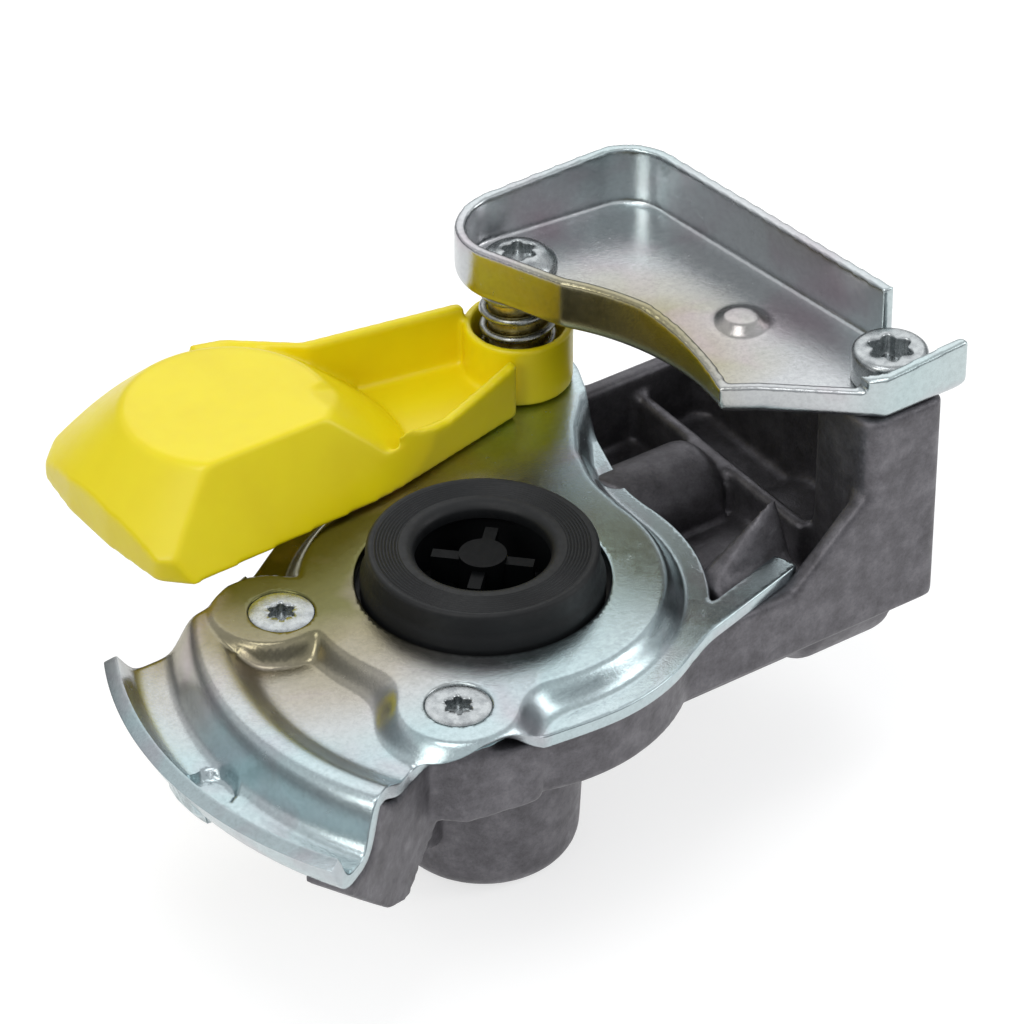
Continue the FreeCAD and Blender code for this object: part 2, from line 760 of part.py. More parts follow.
def claw_backing():
    # The casting under the pocket and the screw pads, with the rib under the claw's trailing end.
    sector = [
        ("0", "0"),
        ("-dims.backing_radius * 0.5", "dims.claw_side_y"),
        ("-dims.backing_radius * 0.88", "dims.claw_side_y"),
        ("-dims.backing_radius", "0"),
        ("-dims.backing_radius * 0.93", "-dims.backing_radius * 0.5"),
        ("-dims.backing_radius * 0.62", "-dims.backing_radius * 0.79"),
        ("-dims.backing_radius * 0.3", "-dims.backing_radius * 0.84"),
    ]
    return prism("claw_backing", sector, "dims.chamber_bottom_z", DISH_UNDER)


def trailing_rib():
    # A wall whose front face is flush with the plate's cut end and whose top carries the sheet. Its lower
    # edge comes to a blunt leg.
    turn = math.radians(size("claw_last_angle"))
    along = V(math.cos(turn), math.sin(turn), 0)
    across = V(math.sin(turn), -math.cos(turn), 0)
    start = V(0, size("claw_centre_y"), 0)
    low = size("chamber_bottom_z")
    high = size("claw_crest_z")
    outer = claw_radii()[5] - size("rib_inset")
    inner = size("rib_inner")
    leg = size("leg_radius")
    foot = size("leg_bottom_z")
    points = [(inner - 5, low), (inner, low), (leg - size("leg_width"), foot), (leg, foot + 2.5),
              (outer, size("rib_outer_z")), (outer, high), (inner - 5, high)]
    wire = Part.makePolygon([start + along * run + UP * height for run, height in points + points[:1]])
    rib = Part.Face(wire).extrude(across * size("rib_thickness"))
    rib = rib.cut(claw_room())
    keep_low = Part.makeCylinder(size("backing_radius") - 2, 40, V(0, 0, number(DISH_UNDER)), UP)
    piece = doc.addObject("Part::Feature", "trailing_rib")
    piece.Shape = rib.cut(keep_low)
    return piece


def boss_web():
    turn = math.radians(size("claw_last_angle") + 2)
    along = V(math.cos(turn), math.sin(turn), 0)
    across = V(math.sin(turn), -math.cos(turn), 0)
    start = V(0, 0, 0)
    low = size("chamber_bottom_z")
    inner = size("boss_bore_radius") + 1
    leg = size("leg_radius")
    points = [(inner, low + 1), (leg, low + 1), (leg, size("leg_bottom_z") + 1),
              (size("boss_foot_radius") - 1, size("web_bottom_z")), (inner, size("web_bottom_z"))]
    wire = Part.makePolygon([start + along * run + UP * height for run, height in points + points[:1]])
    web = Part.Face(wire).extrude(across * size("web_thickness"))
    piece = doc.addObject("Part::Feature", "boss_web")
    piece.Shape = web
    return piece


def make_block():
    # The open box beside the chamber: floor, four walls, the pillar under the guide plate's bolt,
    # the post under the cap's pivot and the port.
    bottom = "dims.chamber_bottom_z"
    front = "dims.block_front_y"
    wall = "dims.block_wall"
    floor_top = "(dims.chamber_bottom_z + dims.block_wall)"
    back = "dims.block_back_y"
    end = "dims.block_end_x"
    shell = rounded("block_shell", box("block_box", ("dims.block_start_x", end), (front, back),
                                       (bottom, DISH_UNDER)), "3", upright)
    hollow = rounded("block_hollow", box(
        "block_hollow_box", ("(dims.block_start_x + %s)" % wall, "(%s - %s)" % (end, wall)),
        ("(%s + %s)" % (front, wall), "(%s - %s)" % (back, wall)), (floor_top, "5")), "4", upright)
    open_box = cut("open_box", shell, [hollow])
    pillar = rounded("pillar", box("pillar_box", ("dims.pillar_x", end), (front, "dims.pillar_y"),
                                   (bottom, "dims.guide_floor_z")), "3", upright)
    back_rise = prism("back_rise", [
        ("dims.block_start_x + 2", "%s - 4" % DISH_UNDER), ("%s - 3" % end, "%s - 4" % DISH_UNDER),
        ("%s - 3" % end, PLATE_UNDER), ("dims.block_start_x + 6", PLATE_UNDER),
        ("dims.block_start_x + 2", DISH_UNDER),
    ], "(%s - %s)" % (back, wall), back, "XZ_Plane")
    end_rise = rounded("end_rise", prism("end_rise_plate", [
        ("dims.pillar_y - 2", "%s - 4" % DISH_UNDER), ("%s - 3" % back, "%s - 4" % DISH_UNDER),
        ("%s - 3" % back, PLATE_UNDER), ("dims.end_rise_y", "dims.end_rise_z"),
        ("dims.pillar_y - 2", "dims.guide_floor_z"),
    ], "(%s - %s)" % (end, wall), end, "YZ_Plane"), "1",
        lambda edge: edge.BoundBox.YLength > 1 and edge.BoundBox.ZMin > number(PLATE_UNDER) - 0.01
        and edge.BoundBox.XLength < 0.001)
    slope = prism("front_slope", [
        ("dims.slope_start_x - 8", "%s - 4" % DISH_UNDER),
        ("dims.pillar_x + 4", "%s - 4" % DISH_UNDER),
        ("dims.pillar_x + 4", "dims.slope_end_z"), ("dims.pillar_x - 1", "dims.slope_end_z"),
        ("dims.slope_start_x", DISH_UNDER), ("dims.slope_start_x - 8", DISH_UNDER),
    ], front, "(%s + %s)" % (front, wall), "XZ_Plane")
    stop = prism("stop_lug", [
        ("dims.block_front_y + 1", "%s - 8" % DISH_UNDER), ("dims.stop_tip_y", "%s - 8" % DISH_UNDER),
        ("dims.stop_tip_y", "dims.stop_tip_z"), ("dims.tongue_tip_y + 4.4", DISH_UNDER),
        ("dims.block_front_y + 1", DISH_UNDER),
    ], "(dims.stop_tip_x - 17)", "dims.stop_tip_x", "YZ_Plane")
    stop_trim = prism("stop_trim", [
        ("dims.stop_tip_x - 18", DISH_UNDER), ("dims.stop_tip_x - 17", DISH_UNDER),
        ("dims.stop_tip_x - 1", "dims.stop_tip_z"), ("dims.stop_tip_x + 1", "dims.stop_tip_z + 4"),
        ("dims.stop_tip_x - 18", "dims.stop_tip_z + 4"),
    ], front, "(dims.stop_tip_y + 2)", "XZ_Plane")
    stop = cut("stop", stop, [stop_trim])
    post = cylinder("post", "dims.post_radius", bottom, PLATE_UNDER, *PIVOT)
    tube = lying_cylinder("port_tube", "dims.port_tube_radius", "dims.tube_start_x",
                          "dims.port_collar_x + 2", "0", "dims.port_z")
    collar = rounded("port_collar", lying_cylinder(
        "port_collar_bar", "dims.port_collar_radius", "dims.port_collar_x", "dims.port_face_x", "0",
        "dims.port_z"), "1.5", lambda edge: edge.BoundBox.XLength < 0.001)
    inner_tube = lying_cylinder("inner_tube", "dims.inner_tube_radius", "dims.inner_tube_start_x",
                                "dims.inner_tube_end_x", "dims.inner_tube_y",
                                "dims.chamber_bottom_z + dims.inner_tube_radius - 1")
    inner_tube = rounded("inner_tube_round", inner_tube, "3",
                         lambda edge: edge.BoundBox.XLength < 0.001 and edge.BoundBox.XMin > 50)
    dish_room = cylinder("dish_room", "(dims.dish_edge_radius + 0.5)", DISH_UNDER, "0")
    inner_tube = cut("inner_tube_trim", inner_tube, [dish_room])
    rib = box("cavity_rib", ("dims.cavity_rib_x", "(dims.cavity_rib_x + dims.cavity_rib_wall)"),
              ("dims.cavity_rib_y", "dims.block_back_y - 2"),
              ("dims.chamber_bottom_z + 2", "%s - 4" % DISH_UNDER))
    return [open_box, pillar, back_rise, end_rise, slope, stop, post, tube, collar, inner_tube, rib]


def make_housing():
    chamber = rounded("chamber", cone("chamber_cone", "dims.chamber_foot_radius", "dims.chamber_radius",
                                      "dims.chamber_bottom_z", DISH_UNDER), "2",
                      circle_at(size("chamber_bottom_z")))
    seat = cylinder("chamber_seat", "(dims.dish_flat_radius - 3)", "(%s - 1)" % DISH_UNDER, PLATE_UNDER)
    boss = rounded("boss", cone("boss_cone", "dims.boss_foot_radius", "dims.boss_radius",
                                "dims.boss_bottom_z", "(dims.chamber_bottom_z + 3)"),
                   "dims.boss_round", circle_at(size("boss_bottom_z")))
    screw_bosses = [
        cylinder("screw_boss_left", "dims.screw_boss_radius - 1", "dims.chamber_bottom_z", PLATE_UNDER,
                 *SCREW_LEFT),
        cylinder("screw_boss_right", "dims.screw_boss_radius - 1", "dims.chamber_bottom_z", PLATE_UNDER,
                 *SCREW_RIGHT),
    ]
    solids = [chamber, seat, boss, claw_backing(), trailing_rib(), boss_web()]
    solids += screw_bosses + make_block()
    solid = fuse("casting", solids)
    bores = [
        cylinder("seal_bore", "(dims.seal_flange_radius + dims.chamber_bore_gap)", "dims.chamber_ledge_z",
                 "0"),
        cylinder("valve_bore", "dims.valve_bore_radius", "dims.valve_bore_z", "0"),
        cylinder("spring_bore", "dims.boss_bore_radius", "dims.boss_bore_z", "0"),
        lying_cylinder("passage", "dims.passage_radius", "8", "(dims.port_face_x - 3)", "0",
                       "dims.port_z - 3"),
        lying_cylinder("port_thread", "dims.port_thread_radius",
                       "(dims.port_face_x - dims.port_thread_length)", "(dims.port_face_x + 1)", "0",
                       "dims.port_z"),
        cylinder("bolt_hole", "(dims.bolt_radius + dims.thread_gap)",
                 "(%s - dims.bolt_length - 2)" % GUIDE_TOP, "40", *BOLT),
        cylinder("pivot_hole", "(dims.pivot_screw_radius + dims.thread_gap)",
                 "(%s - dims.pivot_screw_length - 1)" % GUIDE_TOP, "0", *PIVOT),
        cylinder("claw_sink_left", "(dims.claw_screw_radius + 0.6)", "(%s - 0.6)" % PLATE_UNDER, "0",
                 *SCREW_LEFT),
        cylinder("claw_sink_right", "(dims.claw_screw_radius + 0.6)", "(%s - 0.6)" % PLATE_UNDER, "0",
                 *SCREW_RIGHT),
        cylinder("claw_hole_left", "(dims.claw_screw_radius + dims.thread_gap)",
                 "(dims.plate_top_z - dims.claw_screw_length - 1)", "0", *SCREW_LEFT),
        cylinder("claw_hole_right", "(dims.claw_screw_radius + dims.thread_gap)",
                 "(dims.plate_top_z - dims.claw_screw_length - 1)", "0", *SCREW_RIGHT),
    ]
    return label(cut("housing", solid, bores), "housing")


# Seal and valve


def make_seal():
    points = [
        ("dims.seal_lip_radius", "-1.2"), ("dims.seal_bore_radius", "-0.3"),
        ("(dims.seal_bore_radius + 0.6)", "0"), ("(dims.seal_radius - 0.8)", "0"),
        ("dims.seal_radius", "-0.8"), ("(dims.seal_radius + 0.2)", "-3.5"),
        ("dims.seal_foot_radius", "dims.plate_top_z + 0.3"), ("dims.seal_foot_radius", "dims.seal_flange_z"),
        ("dims.seal_flange_radius", "dims.seal_flange_z"),
        ("dims.seal_flange_radius", "dims.seal_under_z"),
        ("dims.seal_throat_radius", "dims.seal_under_z"), ("dims.seal_throat_radius", "-5"),
        ("dims.seal_lip_radius", "-2.8"),
    ]
    return label(turned("sealing_ring", points), "sealing_ring")


def make_support_ring():
    points = [
        ("(dims.seal_throat_radius + 0.5)", SUPPORT_UNDER), ("dims.seal_flange_radius", SUPPORT_UNDER),
        ("dims.seal_flange_radius", "dims.seal_under_z"),
        ("(dims.seal_throat_radius + 0.5)", "dims.seal_under_z"),
    ]
    return label(turned("seal_support_ring", points), "seal_support_ring")


def make_valve_guide():
    # A flanged insert with a spoked hub above and the valve seat at its lower rim.
    skirt = "(dims.valve_bore_radius - dims.ring_gap)"
    inner = "(dims.valve_bore_radius - dims.ring_gap - dims.guide_skirt_wall)"
    body = turned("guide_body", [
        (inner, "dims.valve_seat_z + 2.5"), ("dims.valve_seat_radius", "dims.valve_seat_z + 2"),
        ("dims.valve_seat_radius", "dims.valve_seat_z"),
        ("(dims.valve_seat_radius + 1.2)", "dims.valve_seat_z"),
        ("(dims.valve_seat_radius + 2)", "dims.valve_seat_z + 0.8"), (skirt, "dims.valve_seat_z + 0.8"),
        (skirt, "dims.chamber_ledge_z"), ("dims.seal_flange_radius", "dims.chamber_ledge_z"),
        ("dims.seal_flange_radius", SUPPORT_UNDER), (inner, SUPPORT_UNDER),
    ])
    hub = cylinder("guide_hub", "dims.hub_radius", "(dims.valve_seat_z + 5)", SUPPORT_UNDER)
    spokes = []
    for index in range(int(size("spoke_count")) // 2):
        spoke = doc.addObject("Part::Box", "spoke_%d" % (index + 1))
        bind(spoke, Length="2 * (%s + 0.5)" % inner, Width="dims.spoke_width", Height="4")
        turn = 360.0 / size("spoke_count") * index
        spoke.Placement.Rotation = FreeCAD.Rotation(UP, turn)
        reach = number(inner) + 0.5
        half = size("spoke_width") / 2
        corner = FreeCAD.Rotation(UP, turn).multVec(V(-reach, -half, 0))
        spoke.Placement.Base = V(corner.x, corner.y, number(SUPPORT_UNDER) - 4)
        spokes.append(spoke)
    joined = fuse("guide_joined", [body, hub] + spokes)
    bore = cylinder("guide_bore", "(dims.stem_radius + dims.stem_gap)", "dims.valve_seat_z", "0")
    groove = turned("guide_groove", [
        ("(dims.valve_bore_radius - 1.8)", "dims.chamber_ledge_z - 5"),
        ("(dims.valve_bore_radius + 1)", "dims.chamber_ledge_z - 5"),
        ("(dims.valve_bore_radius + 1)", "dims.chamber_ledge_z - 2.6"),
        ("(dims.valve_bore_radius - 1.8)", "dims.chamber_ledge_z - 2.6"),
    ])
    return label(cut("valve_guide", joined, [bore, groove]), "valve_guide")


def make_guide_o_ring():
    ring = doc.addObject("Part::Torus", "guide_o_ring")
    bind(ring, Radius1="dims.valve_bore_radius - 0.9", Radius2="0.88")
    place(ring, "0", "0", "dims.chamber_ledge_z - 3.8")
    return label(ring, "guide_o_ring")


def make_plunger():
    # A stem with a finned head that the mating coupling pushes down.
    stem = cylinder("plunger_stem", "dims.stem_radius", DISC_TOP, "(dims.plunger_top_z - 3)")
    shoulder = cylinder("plunger_shoulder", "(dims.stem_radius + 3)", DISC_TOP, "(%s + 1.6)" % DISC_TOP)
    nose = cylinder("plunger_nose", "(dims.stem_radius + 1)",
                    "(%s + dims.valve_travel + 0.4)" % SUPPORT_UNDER, "dims.plunger_top_z")
    fins = []
    for index in range(2):
        fin = doc.addObject("Part::Box", "plunger_fin_%d" % (index + 1))
        bind(fin, Length="2 * dims.plunger_head_radius", Width="dims.plunger_fin", Height="5")
        turn = 45.0 + 90.0 * index
        fin.Placement.Rotation = FreeCAD.Rotation(UP, turn)
        corner = FreeCAD.Rotation(UP, turn).multVec(
            V(-size("plunger_head_radius"), -size("plunger_fin") / 2, 0))
        fin.Placement.Base = V(corner.x, corner.y, size("plunger_top_z") - 6)
        fins.append(fin)
    solid = fuse("plunger_joined", [stem, shoulder, nose] + fins)
    hole = cylinder("plunger_hole", "(dims.rivet_shank_radius + dims.rivet_shank_gap)", DISC_TOP,
                    "(%s + dims.rivet_hole_depth)" % DISC_TOP)
    return label(cut("valve_plunger", solid, [hole]), "valve_plunger")


def make_valve_disc():
    points = [
        (RIVET_HOLE, DISC_UNDER), ("dims.disc_radius", DISC_UNDER),
        ("dims.disc_radius", "%s - 0.6" % DISC_TOP), ("(dims.disc_radius - 0.6)", DISC_TOP),
        (RIVET_HOLE, DISC_TOP),
    ]
    return label(turned("valve_seal_disc", points), "valve_seal_disc")


def make_disc_washer():
    points = [
        (RIVET_HOLE, WASHER_UNDER), ("(dims.disc_radius - 1)", WASHER_UNDER),
        ("(dims.disc_radius - 1)", DISC_UNDER), (RIVET_HOLE, DISC_UNDER),
    ]
    return label(turned("valve_disc_washer", points), "valve_disc_washer")


def make_rivet():
    head_low = "(%s - dims.rivet_head_height)" % WASHER_UNDER
    points = [
        ("0", head_low), ("(dims.rivet_head_radius - dims.rivet_head_edge)", head_low),
        ("dims.rivet_head_radius", "%s + dims.rivet_head_edge" % head_low),
        ("dims.rivet_head_radius", WASHER_UNDER), ("dims.rivet_shank_radius", WASHER_UNDER),
        ("dims.rivet_shank_radius", "%s + dims.rivet_reach" % DISC_TOP),
        ("0", "%s + dims.rivet_reach" % DISC_TOP),
    ]
    return label(turned("valve_rivet", points), "valve_rivet")


def make_spring_cup():
    # A pressed cup that centres the valve spring at the bottom of the boss.
    rim = "(dims.boss_bore_radius - 0.2)"
    floor = "dims.boss_bore_z"
    points = [
        ("0", floor), (rim, floor), (rim, "dims.boss_bore_z + dims.cup_height"),
        ("(dims.boss_bore_radius - 1.2)", "dims.boss_bore_z + dims.cup_height"),
        ("(dims.boss_bore_radius - 1.2)", "dims.boss_bore_z + 1"), ("0", "dims.boss_bore_z + 1"),
    ]
    return label(turned("spring_cup", points), "spring_cup")


# Fasteners, cap and its spring


def socket(name, radius, depth, top, x, y):
    # A six-lobed recess: a round core and six lobes on its rim.
    core = cylinder(name + "_core", "(%s * 0.74)" % radius, "(%s - %s)" % (top, depth),
                    "(%s + 1)" % top, x, y)
    lobes = []
    for index in range(6):
        turn = math.radians(60 * index)
        lobe = cylinder("%s_lobe_%d" % (name, index + 1), "(%s * 0.25)" % radius,
                        "(%s - %s)" % (top, depth), "(%s + 1)" % top,
                        "(%s + %s * %.6f)" % (x, radius, 0.75 * math.cos(turn)),
                        "(%s + %s * %.6f)" % (y, radius, 0.75 * math.sin(turn)))
        lobes.append(lobe)
    return [core] + lobes


def make_claw_screw(node, place_at):
    top = "dims.plate_top_z"
    neck = "(dims.plate_top_z - dims.claw_screw_rim - dims.claw_screw_head_radius + dims.claw_screw_radius)"
    blank = turned(node + "_blank", [
        ("0", "dims.plate_top_z - dims.claw_screw_length"),
        ("(dims.claw_screw_radius - 0.6)", "dims.plate_top_z - dims.claw_screw_length"),
        ("dims.claw_screw_radius", "dims.plate_top_z - dims.claw_screw_length + 0.6"),
        ("dims.claw_screw_radius", neck), ("dims.claw_screw_head_radius", "%s - dims.claw_screw_rim" % top),
        ("dims.claw_screw_head_radius", top), ("0", top),
    ], *place_at)
    recess = socket(node + "_socket", "dims.claw_socket_radius", "dims.claw_socket_depth", top, *place_at)
    return label(cut(node, blank, recess), node)


def make_guide_bolt():
    top = "(%s + dims.bolt_head_height)" % GUIDE_TOP
    blank = turned("guide_bolt_blank", [
        ("0", "%s - dims.bolt_length" % GUIDE_TOP),
        ("(dims.bolt_radius - 0.8)", "%s - dims.bolt_length" % GUIDE_TOP),
        ("dims.bolt_radius", "%s - dims.bolt_length + 0.8" % GUIDE_TOP),
        ("dims.bolt_radius", GUIDE_TOP), ("dims.bolt_head_radius", GUIDE_TOP),
        ("dims.bolt_head_radius", "%s - 0.8" % top), ("(dims.bolt_head_radius - 0.8)", top), ("0", top),
    ], *BOLT)
    recess = socket("guide_bolt_socket", "dims.bolt_socket_radius", "dims.bolt_socket_depth", top, *BOLT)
    return label(cut("guide_bolt", blank, recess), "guide_bolt")


def make_pivot_screw():
    top = "(%s + dims.pivot_head_height)" % GUIDE_TOP
    blank = turned("pivot_screw_blank", [
        ("0", "%s - dims.pivot_screw_length" % GUIDE_TOP),
        ("(dims.pivot_screw_radius - 0.8)", "%s - dims.pivot_screw_length" % GUIDE_TOP),
        ("dims.pivot_screw_radius", "%s - dims.pivot_screw_length + 0.8" % GUIDE_TOP),
        ("dims.pivot_screw_radius", GUIDE_TOP), ("dims.pivot_head_radius", GUIDE_TOP),
        ("dims.pivot_head_radius", "%s + 1" % GUIDE_TOP),
        ("(dims.pivot_head_radius - 2)", "%s - 0.3" % top), ("(dims.pivot_head_radius - 3.2)", top),
        ("0", top),
    ], *PIVOT)
    recess = socket("pivot_socket", "dims.bolt_socket_radius * 0.8", "2", top, *PIVOT)
    return label(cut("pivot_screw", blank, recess), "pivot_screw")


def make_sleeve():
    points = [
        ("(dims.pivot_screw_radius + 0.1)", "dims.plate_top_z"), ("dims.sleeve_radius", "dims.plate_top_z"),
        ("dims.sleeve_radius", "dims.guide_floor_z"),
        ("(dims.pivot_screw_radius + 0.1)", "dims.guide_floor_z"),
    ]
    return label(turned("pivot_sleeve", points, *PIVOT), "pivot_sleeve")


def make_spring_washer():
    top = "(%s + 0.1 + dims.washer_height)" % CAP_FLOOR
    points = [
        ("(dims.sleeve_radius + dims.sleeve_gap)", "%s + 0.1" % CAP_FLOOR),
        ("(dims.cap_cup_radius - 0.3)", "%s + 0.1" % CAP_FLOOR), ("(dims.cap_cup_radius - 0.3)", top),
        ("(dims.sleeve_radius + dims.sleeve_gap)", top),
    ]
    return label(turned("spring_seat_washer", points, *PIVOT), "spring_seat_washer")


def cap_footprint(name, inset, low, high):
    # The cap's outline seen from above, drawn in by the inset. The far end bulges a little.
    far = "dims.cap_far_x + %s" % inset
    front = "dims.cap_front_y + %s" % inset
    back = "dims.cap_back_y - %s" % inset
    points = [
        ("%s + 1.5 + dims.cap_corner" % far, front), ("dims.cap_dome_x", "%s + 0.4" % front),
        ("dims.cap_waist_x", "dims.cap_waist_front_y + %s" % inset),
        ("dims.cap_neck_x", "dims.cap_neck_front_y + %s" % inset),
        ("dims.cap_neck_x", "dims.cap_neck_back_y - %s" % inset),
        ("dims.cap_waist_x", "dims.cap_waist_back_y - %s" % inset),
        ("dims.cap_dome_x + 12", "%s - 4" % back), ("dims.cap_dome_x", "%s - 0.4" % back),
        ("%s + 1.5 + dims.cap_corner" % far, back), ("%s + 1.5" % far, "%s - dims.cap_corner" % back),
        (far, "dims.cap_dome_y + 8"), (far, "dims.cap_dome_y - 4"),
        ("%s + 1.5" % far, "%s + dims.cap_corner" % front),
    ]
    return prism(name, points, low, high)


def cap_lean(name, inset):
    # What lies in front of the front wall, drawn in by the inset. The wall leans under the dome and
    # stands upright at the waist.
    low = size("cap_bottom_z")
    high = size("cap_dome_z")
    front = size("cap_front_y") + inset
    waist = size("cap_waist_front_y") + inset
    sections = []
    for x, foot, lean in ((size("cap_far_x") - 5, front - 0.4, size("cap_ridge_y") + inset),
                          (size("cap_waist_x") - 4, waist - 0.8, size("cap_ridge_y") + inset),
                          (size("cap_waist_x") + 9, waist + 1.4, waist + 2.6)):
        corners = [V(x, -60, low - 2), V(x, foot, low - 2), V(x, foot, low), V(x, lean, high),
                   V(x, lean, high + 4), V(x, -60, high + 4)]
        sections.append(Part.makePolygon(corners + corners[:1]))
    piece = doc.addObject("Part::Feature", name)
    piece.Shape = Part.makeLoft(sections, True, True)
    return piece


def make_dust_cap():
    low = "dims.cap_bottom_z"
    dome_at = ("dims.cap_dome_x", "dims.cap_dome_y")
    wall = "dims.cap_wall"
    inner_top = "(dims.cap_dome_z - dims.cap_wall)"
    base = rounded("cap_base", cap_footprint("cap_base_plate", "0", low, "dims.cap_band_z"), "3", upright)
    dome = cone("cap_dome_cone", "dims.cap_dome_foot", "dims.cap_dome_radius", "dims.cap_band_z",
                "dims.cap_dome_z", *dome_at)
    dome_lot = rounded("cap_dome_round", dome, "3", circle_at(size("cap_dome_z")))
    dome_keep = cap_footprint("cap_dome_keep", "0", low, "dims.cap_dome_z + 1")
    dome_kept = common("cap_dome", [dome_lot, dome_keep])
    arm_walls = cap_footprint("cap_arm_walls", "0", low, "dims.cap_back_z")
    arm_keep = box("cap_arm_keep", ("(dims.cap_dome_x + 6)", "dims.cap_neck_x"), ("0", "100"),
                   ("-20", "20"))
    arm = common("cap_arm", [arm_walls, arm_keep])
    channel_all = cap_footprint("cap_channel_all", wall, "dims.cap_channel_z", "12")
    channel_keep = box("cap_channel_keep", ("(dims.cap_dome_x + 4)", "(dims.cap_neck_x + 1)"),
                       ("0", "100"), ("-20", "20"))
    channel_part = common("cap_channel_part", [channel_all, channel_keep])
    dome_guard = cone("cap_dome_guard", "dims.cap_dome_foot", "dims.cap_dome_radius",
                      "dims.cap_band_z", "dims.cap_dome_z", *dome_at)
    dome_guard_low = cylinder("cap_dome_guard_low", "dims.cap_dome_foot", low, "dims.cap_band_z", *dome_at)
    channel = cut("cap_channel", channel_part, [dome_guard, dome_guard_low])
    sag = prism("cap_sag", [
        ("dims.cap_waist_x - 9", "dims.cap_dome_z"), ("dims.cap_waist_x - 4", "dims.cap_sag_z + 6.6"),
        ("dims.cap_waist_x + 1.5", "dims.cap_sag_z + 2.8"), ("dims.cap_waist_x + 7", "dims.cap_sag_z + 0.8"),
        ("dims.cap_waist_x + 12", "dims.cap_sag_z"), ("dims.cap_neck_x - 7", "dims.cap_sag_z + 1.8"),
        ("dims.cap_neck_x", "dims.cap_hub_z - 0.6"), ("dims.cap_neck_x + 2", "dims.cap_hub_z"),
        ("dims.cap_neck_x + 2", "dims.cap_dome_z + 2"), ("dims.cap_waist_x - 9", "dims.cap_dome_z + 2"),
    ], "0", "dims.cap_dome_y - 4", "XZ_Plane")
    hub = cylinder("cap_hub", "dims.cap_hub_radius", low, "dims.cap_hub_z", *PIVOT)
    body = fuse("cap_body", [base, dome_kept, arm])
    body = cut("cap_shaped", body, [channel, sag, cap_lean("cap_front_lean", 0.0)])
    body = fuse("cap_with_hub", [body, hub])
    cavity_side = common("cap_cavity_side", [
        fuse("cap_cavity_round", [
            cylinder("cap_cavity_low", "(dims.cap_dome_foot - dims.cap_wall)", "(%s - 1)" % low,
                     "dims.cap_band_z", *dome_at),
            cone("cap_cavity_high", "(dims.cap_dome_foot - dims.cap_wall)",
                 "(dims.cap_dome_radius - dims.cap_wall * 0.6)", "dims.cap_band_z", inner_top, *dome_at),
        ]),
        cap_footprint("cap_cavity_keep", wall, "(%s - 1)" % low, inner_top),
    ])
    cavity = cut("cap_cavity", cavity_side, [cap_lean("cap_inner_lean", size("cap_wall"))])
    cup = cylinder("cap_cup", "dims.cap_cup_radius", CAP_FLOOR, "(dims.cap_hub_z + 6)", *PIVOT)
    bore = cylinder("cap_bore", "(dims.sleeve_radius + dims.sleeve_gap)", "(%s - 1)" % low, "20", *PIVOT)
    return label(cut("dust_cap", body, [cavity, cup, bore]), "dust_cap")


make_housing()
make_claw_plate()
make_guide_plate()
make_seal()
make_support_ring()
make_valve_guide()
make_guide_o_ring()
make_plunger()
make_valve_disc()
make_disc_washer()
make_rivet()
make_spring_cup()
make_claw_screw("claw_screw_left", SCREW_LEFT)
make_claw_screw("claw_screw_right", SCREW_RIGHT)
make_guide_bolt()
make_pivot_screw()
make_sleeve()
make_spring_washer()
make_dust_cap()
label(coil("valve_spring_coil", "dims.valve_wire / 2", "dims.valve_coil_radius", "dims.valve_coil_turns",
           "(dims.boss_bore_z + 1)", "(%s - 0.02)" % WASHER_UNDER), "valve_spring")
label(coil("cap_spring_coil", "dims.cap_wire / 2", "(dims.cap_coil_radius - dims.cap_wire / 2)",
           "dims.cap_coil_turns", "(%s + 0.1 + dims.washer_height)" % CAP_FLOOR, "dims.guide_floor_z",
           *PIVOT), "cap_spring")
doc.recompute()

NODES = [
    "housing", "claw_plate", "guide_plate", "sealing_ring", "seal_support_ring", "valve_guide",
    "guide_o_ring", "valve_plunger", "valve_seal_disc", "valve_disc_washer", "valve_rivet", "valve_spring",
    "spring_cup", "claw_screw_left", "claw_screw_right", "guide_bolt", "pivot_screw", "pivot_sleeve",
    "spring_seat_washer", "cap_spring", "dust_cap",
]

for obj in doc.Objects:
    if "Invalid" in obj.State or "Error" in obj.State:
        raise RuntimeError("failed: " + obj.Name)
os.makedirs("parts", exist_ok=True)
for node in NODES:
    piece = doc.getObjectsByLabel(node)[0]
    if piece.Shape.isNull() or not piece.Shape.isValid():
        raise RuntimeError("bad shape: " + node)
    print("%-20s solids %d volume %.1f" % (node, len(piece.Shape.Solids), piece.Shape.Volume))
    piece.Shape.exportStep("parts/%s.step" % node)
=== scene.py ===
import bpy
import json
import math
import numpy as np
from mathutils import Matrix, Vector


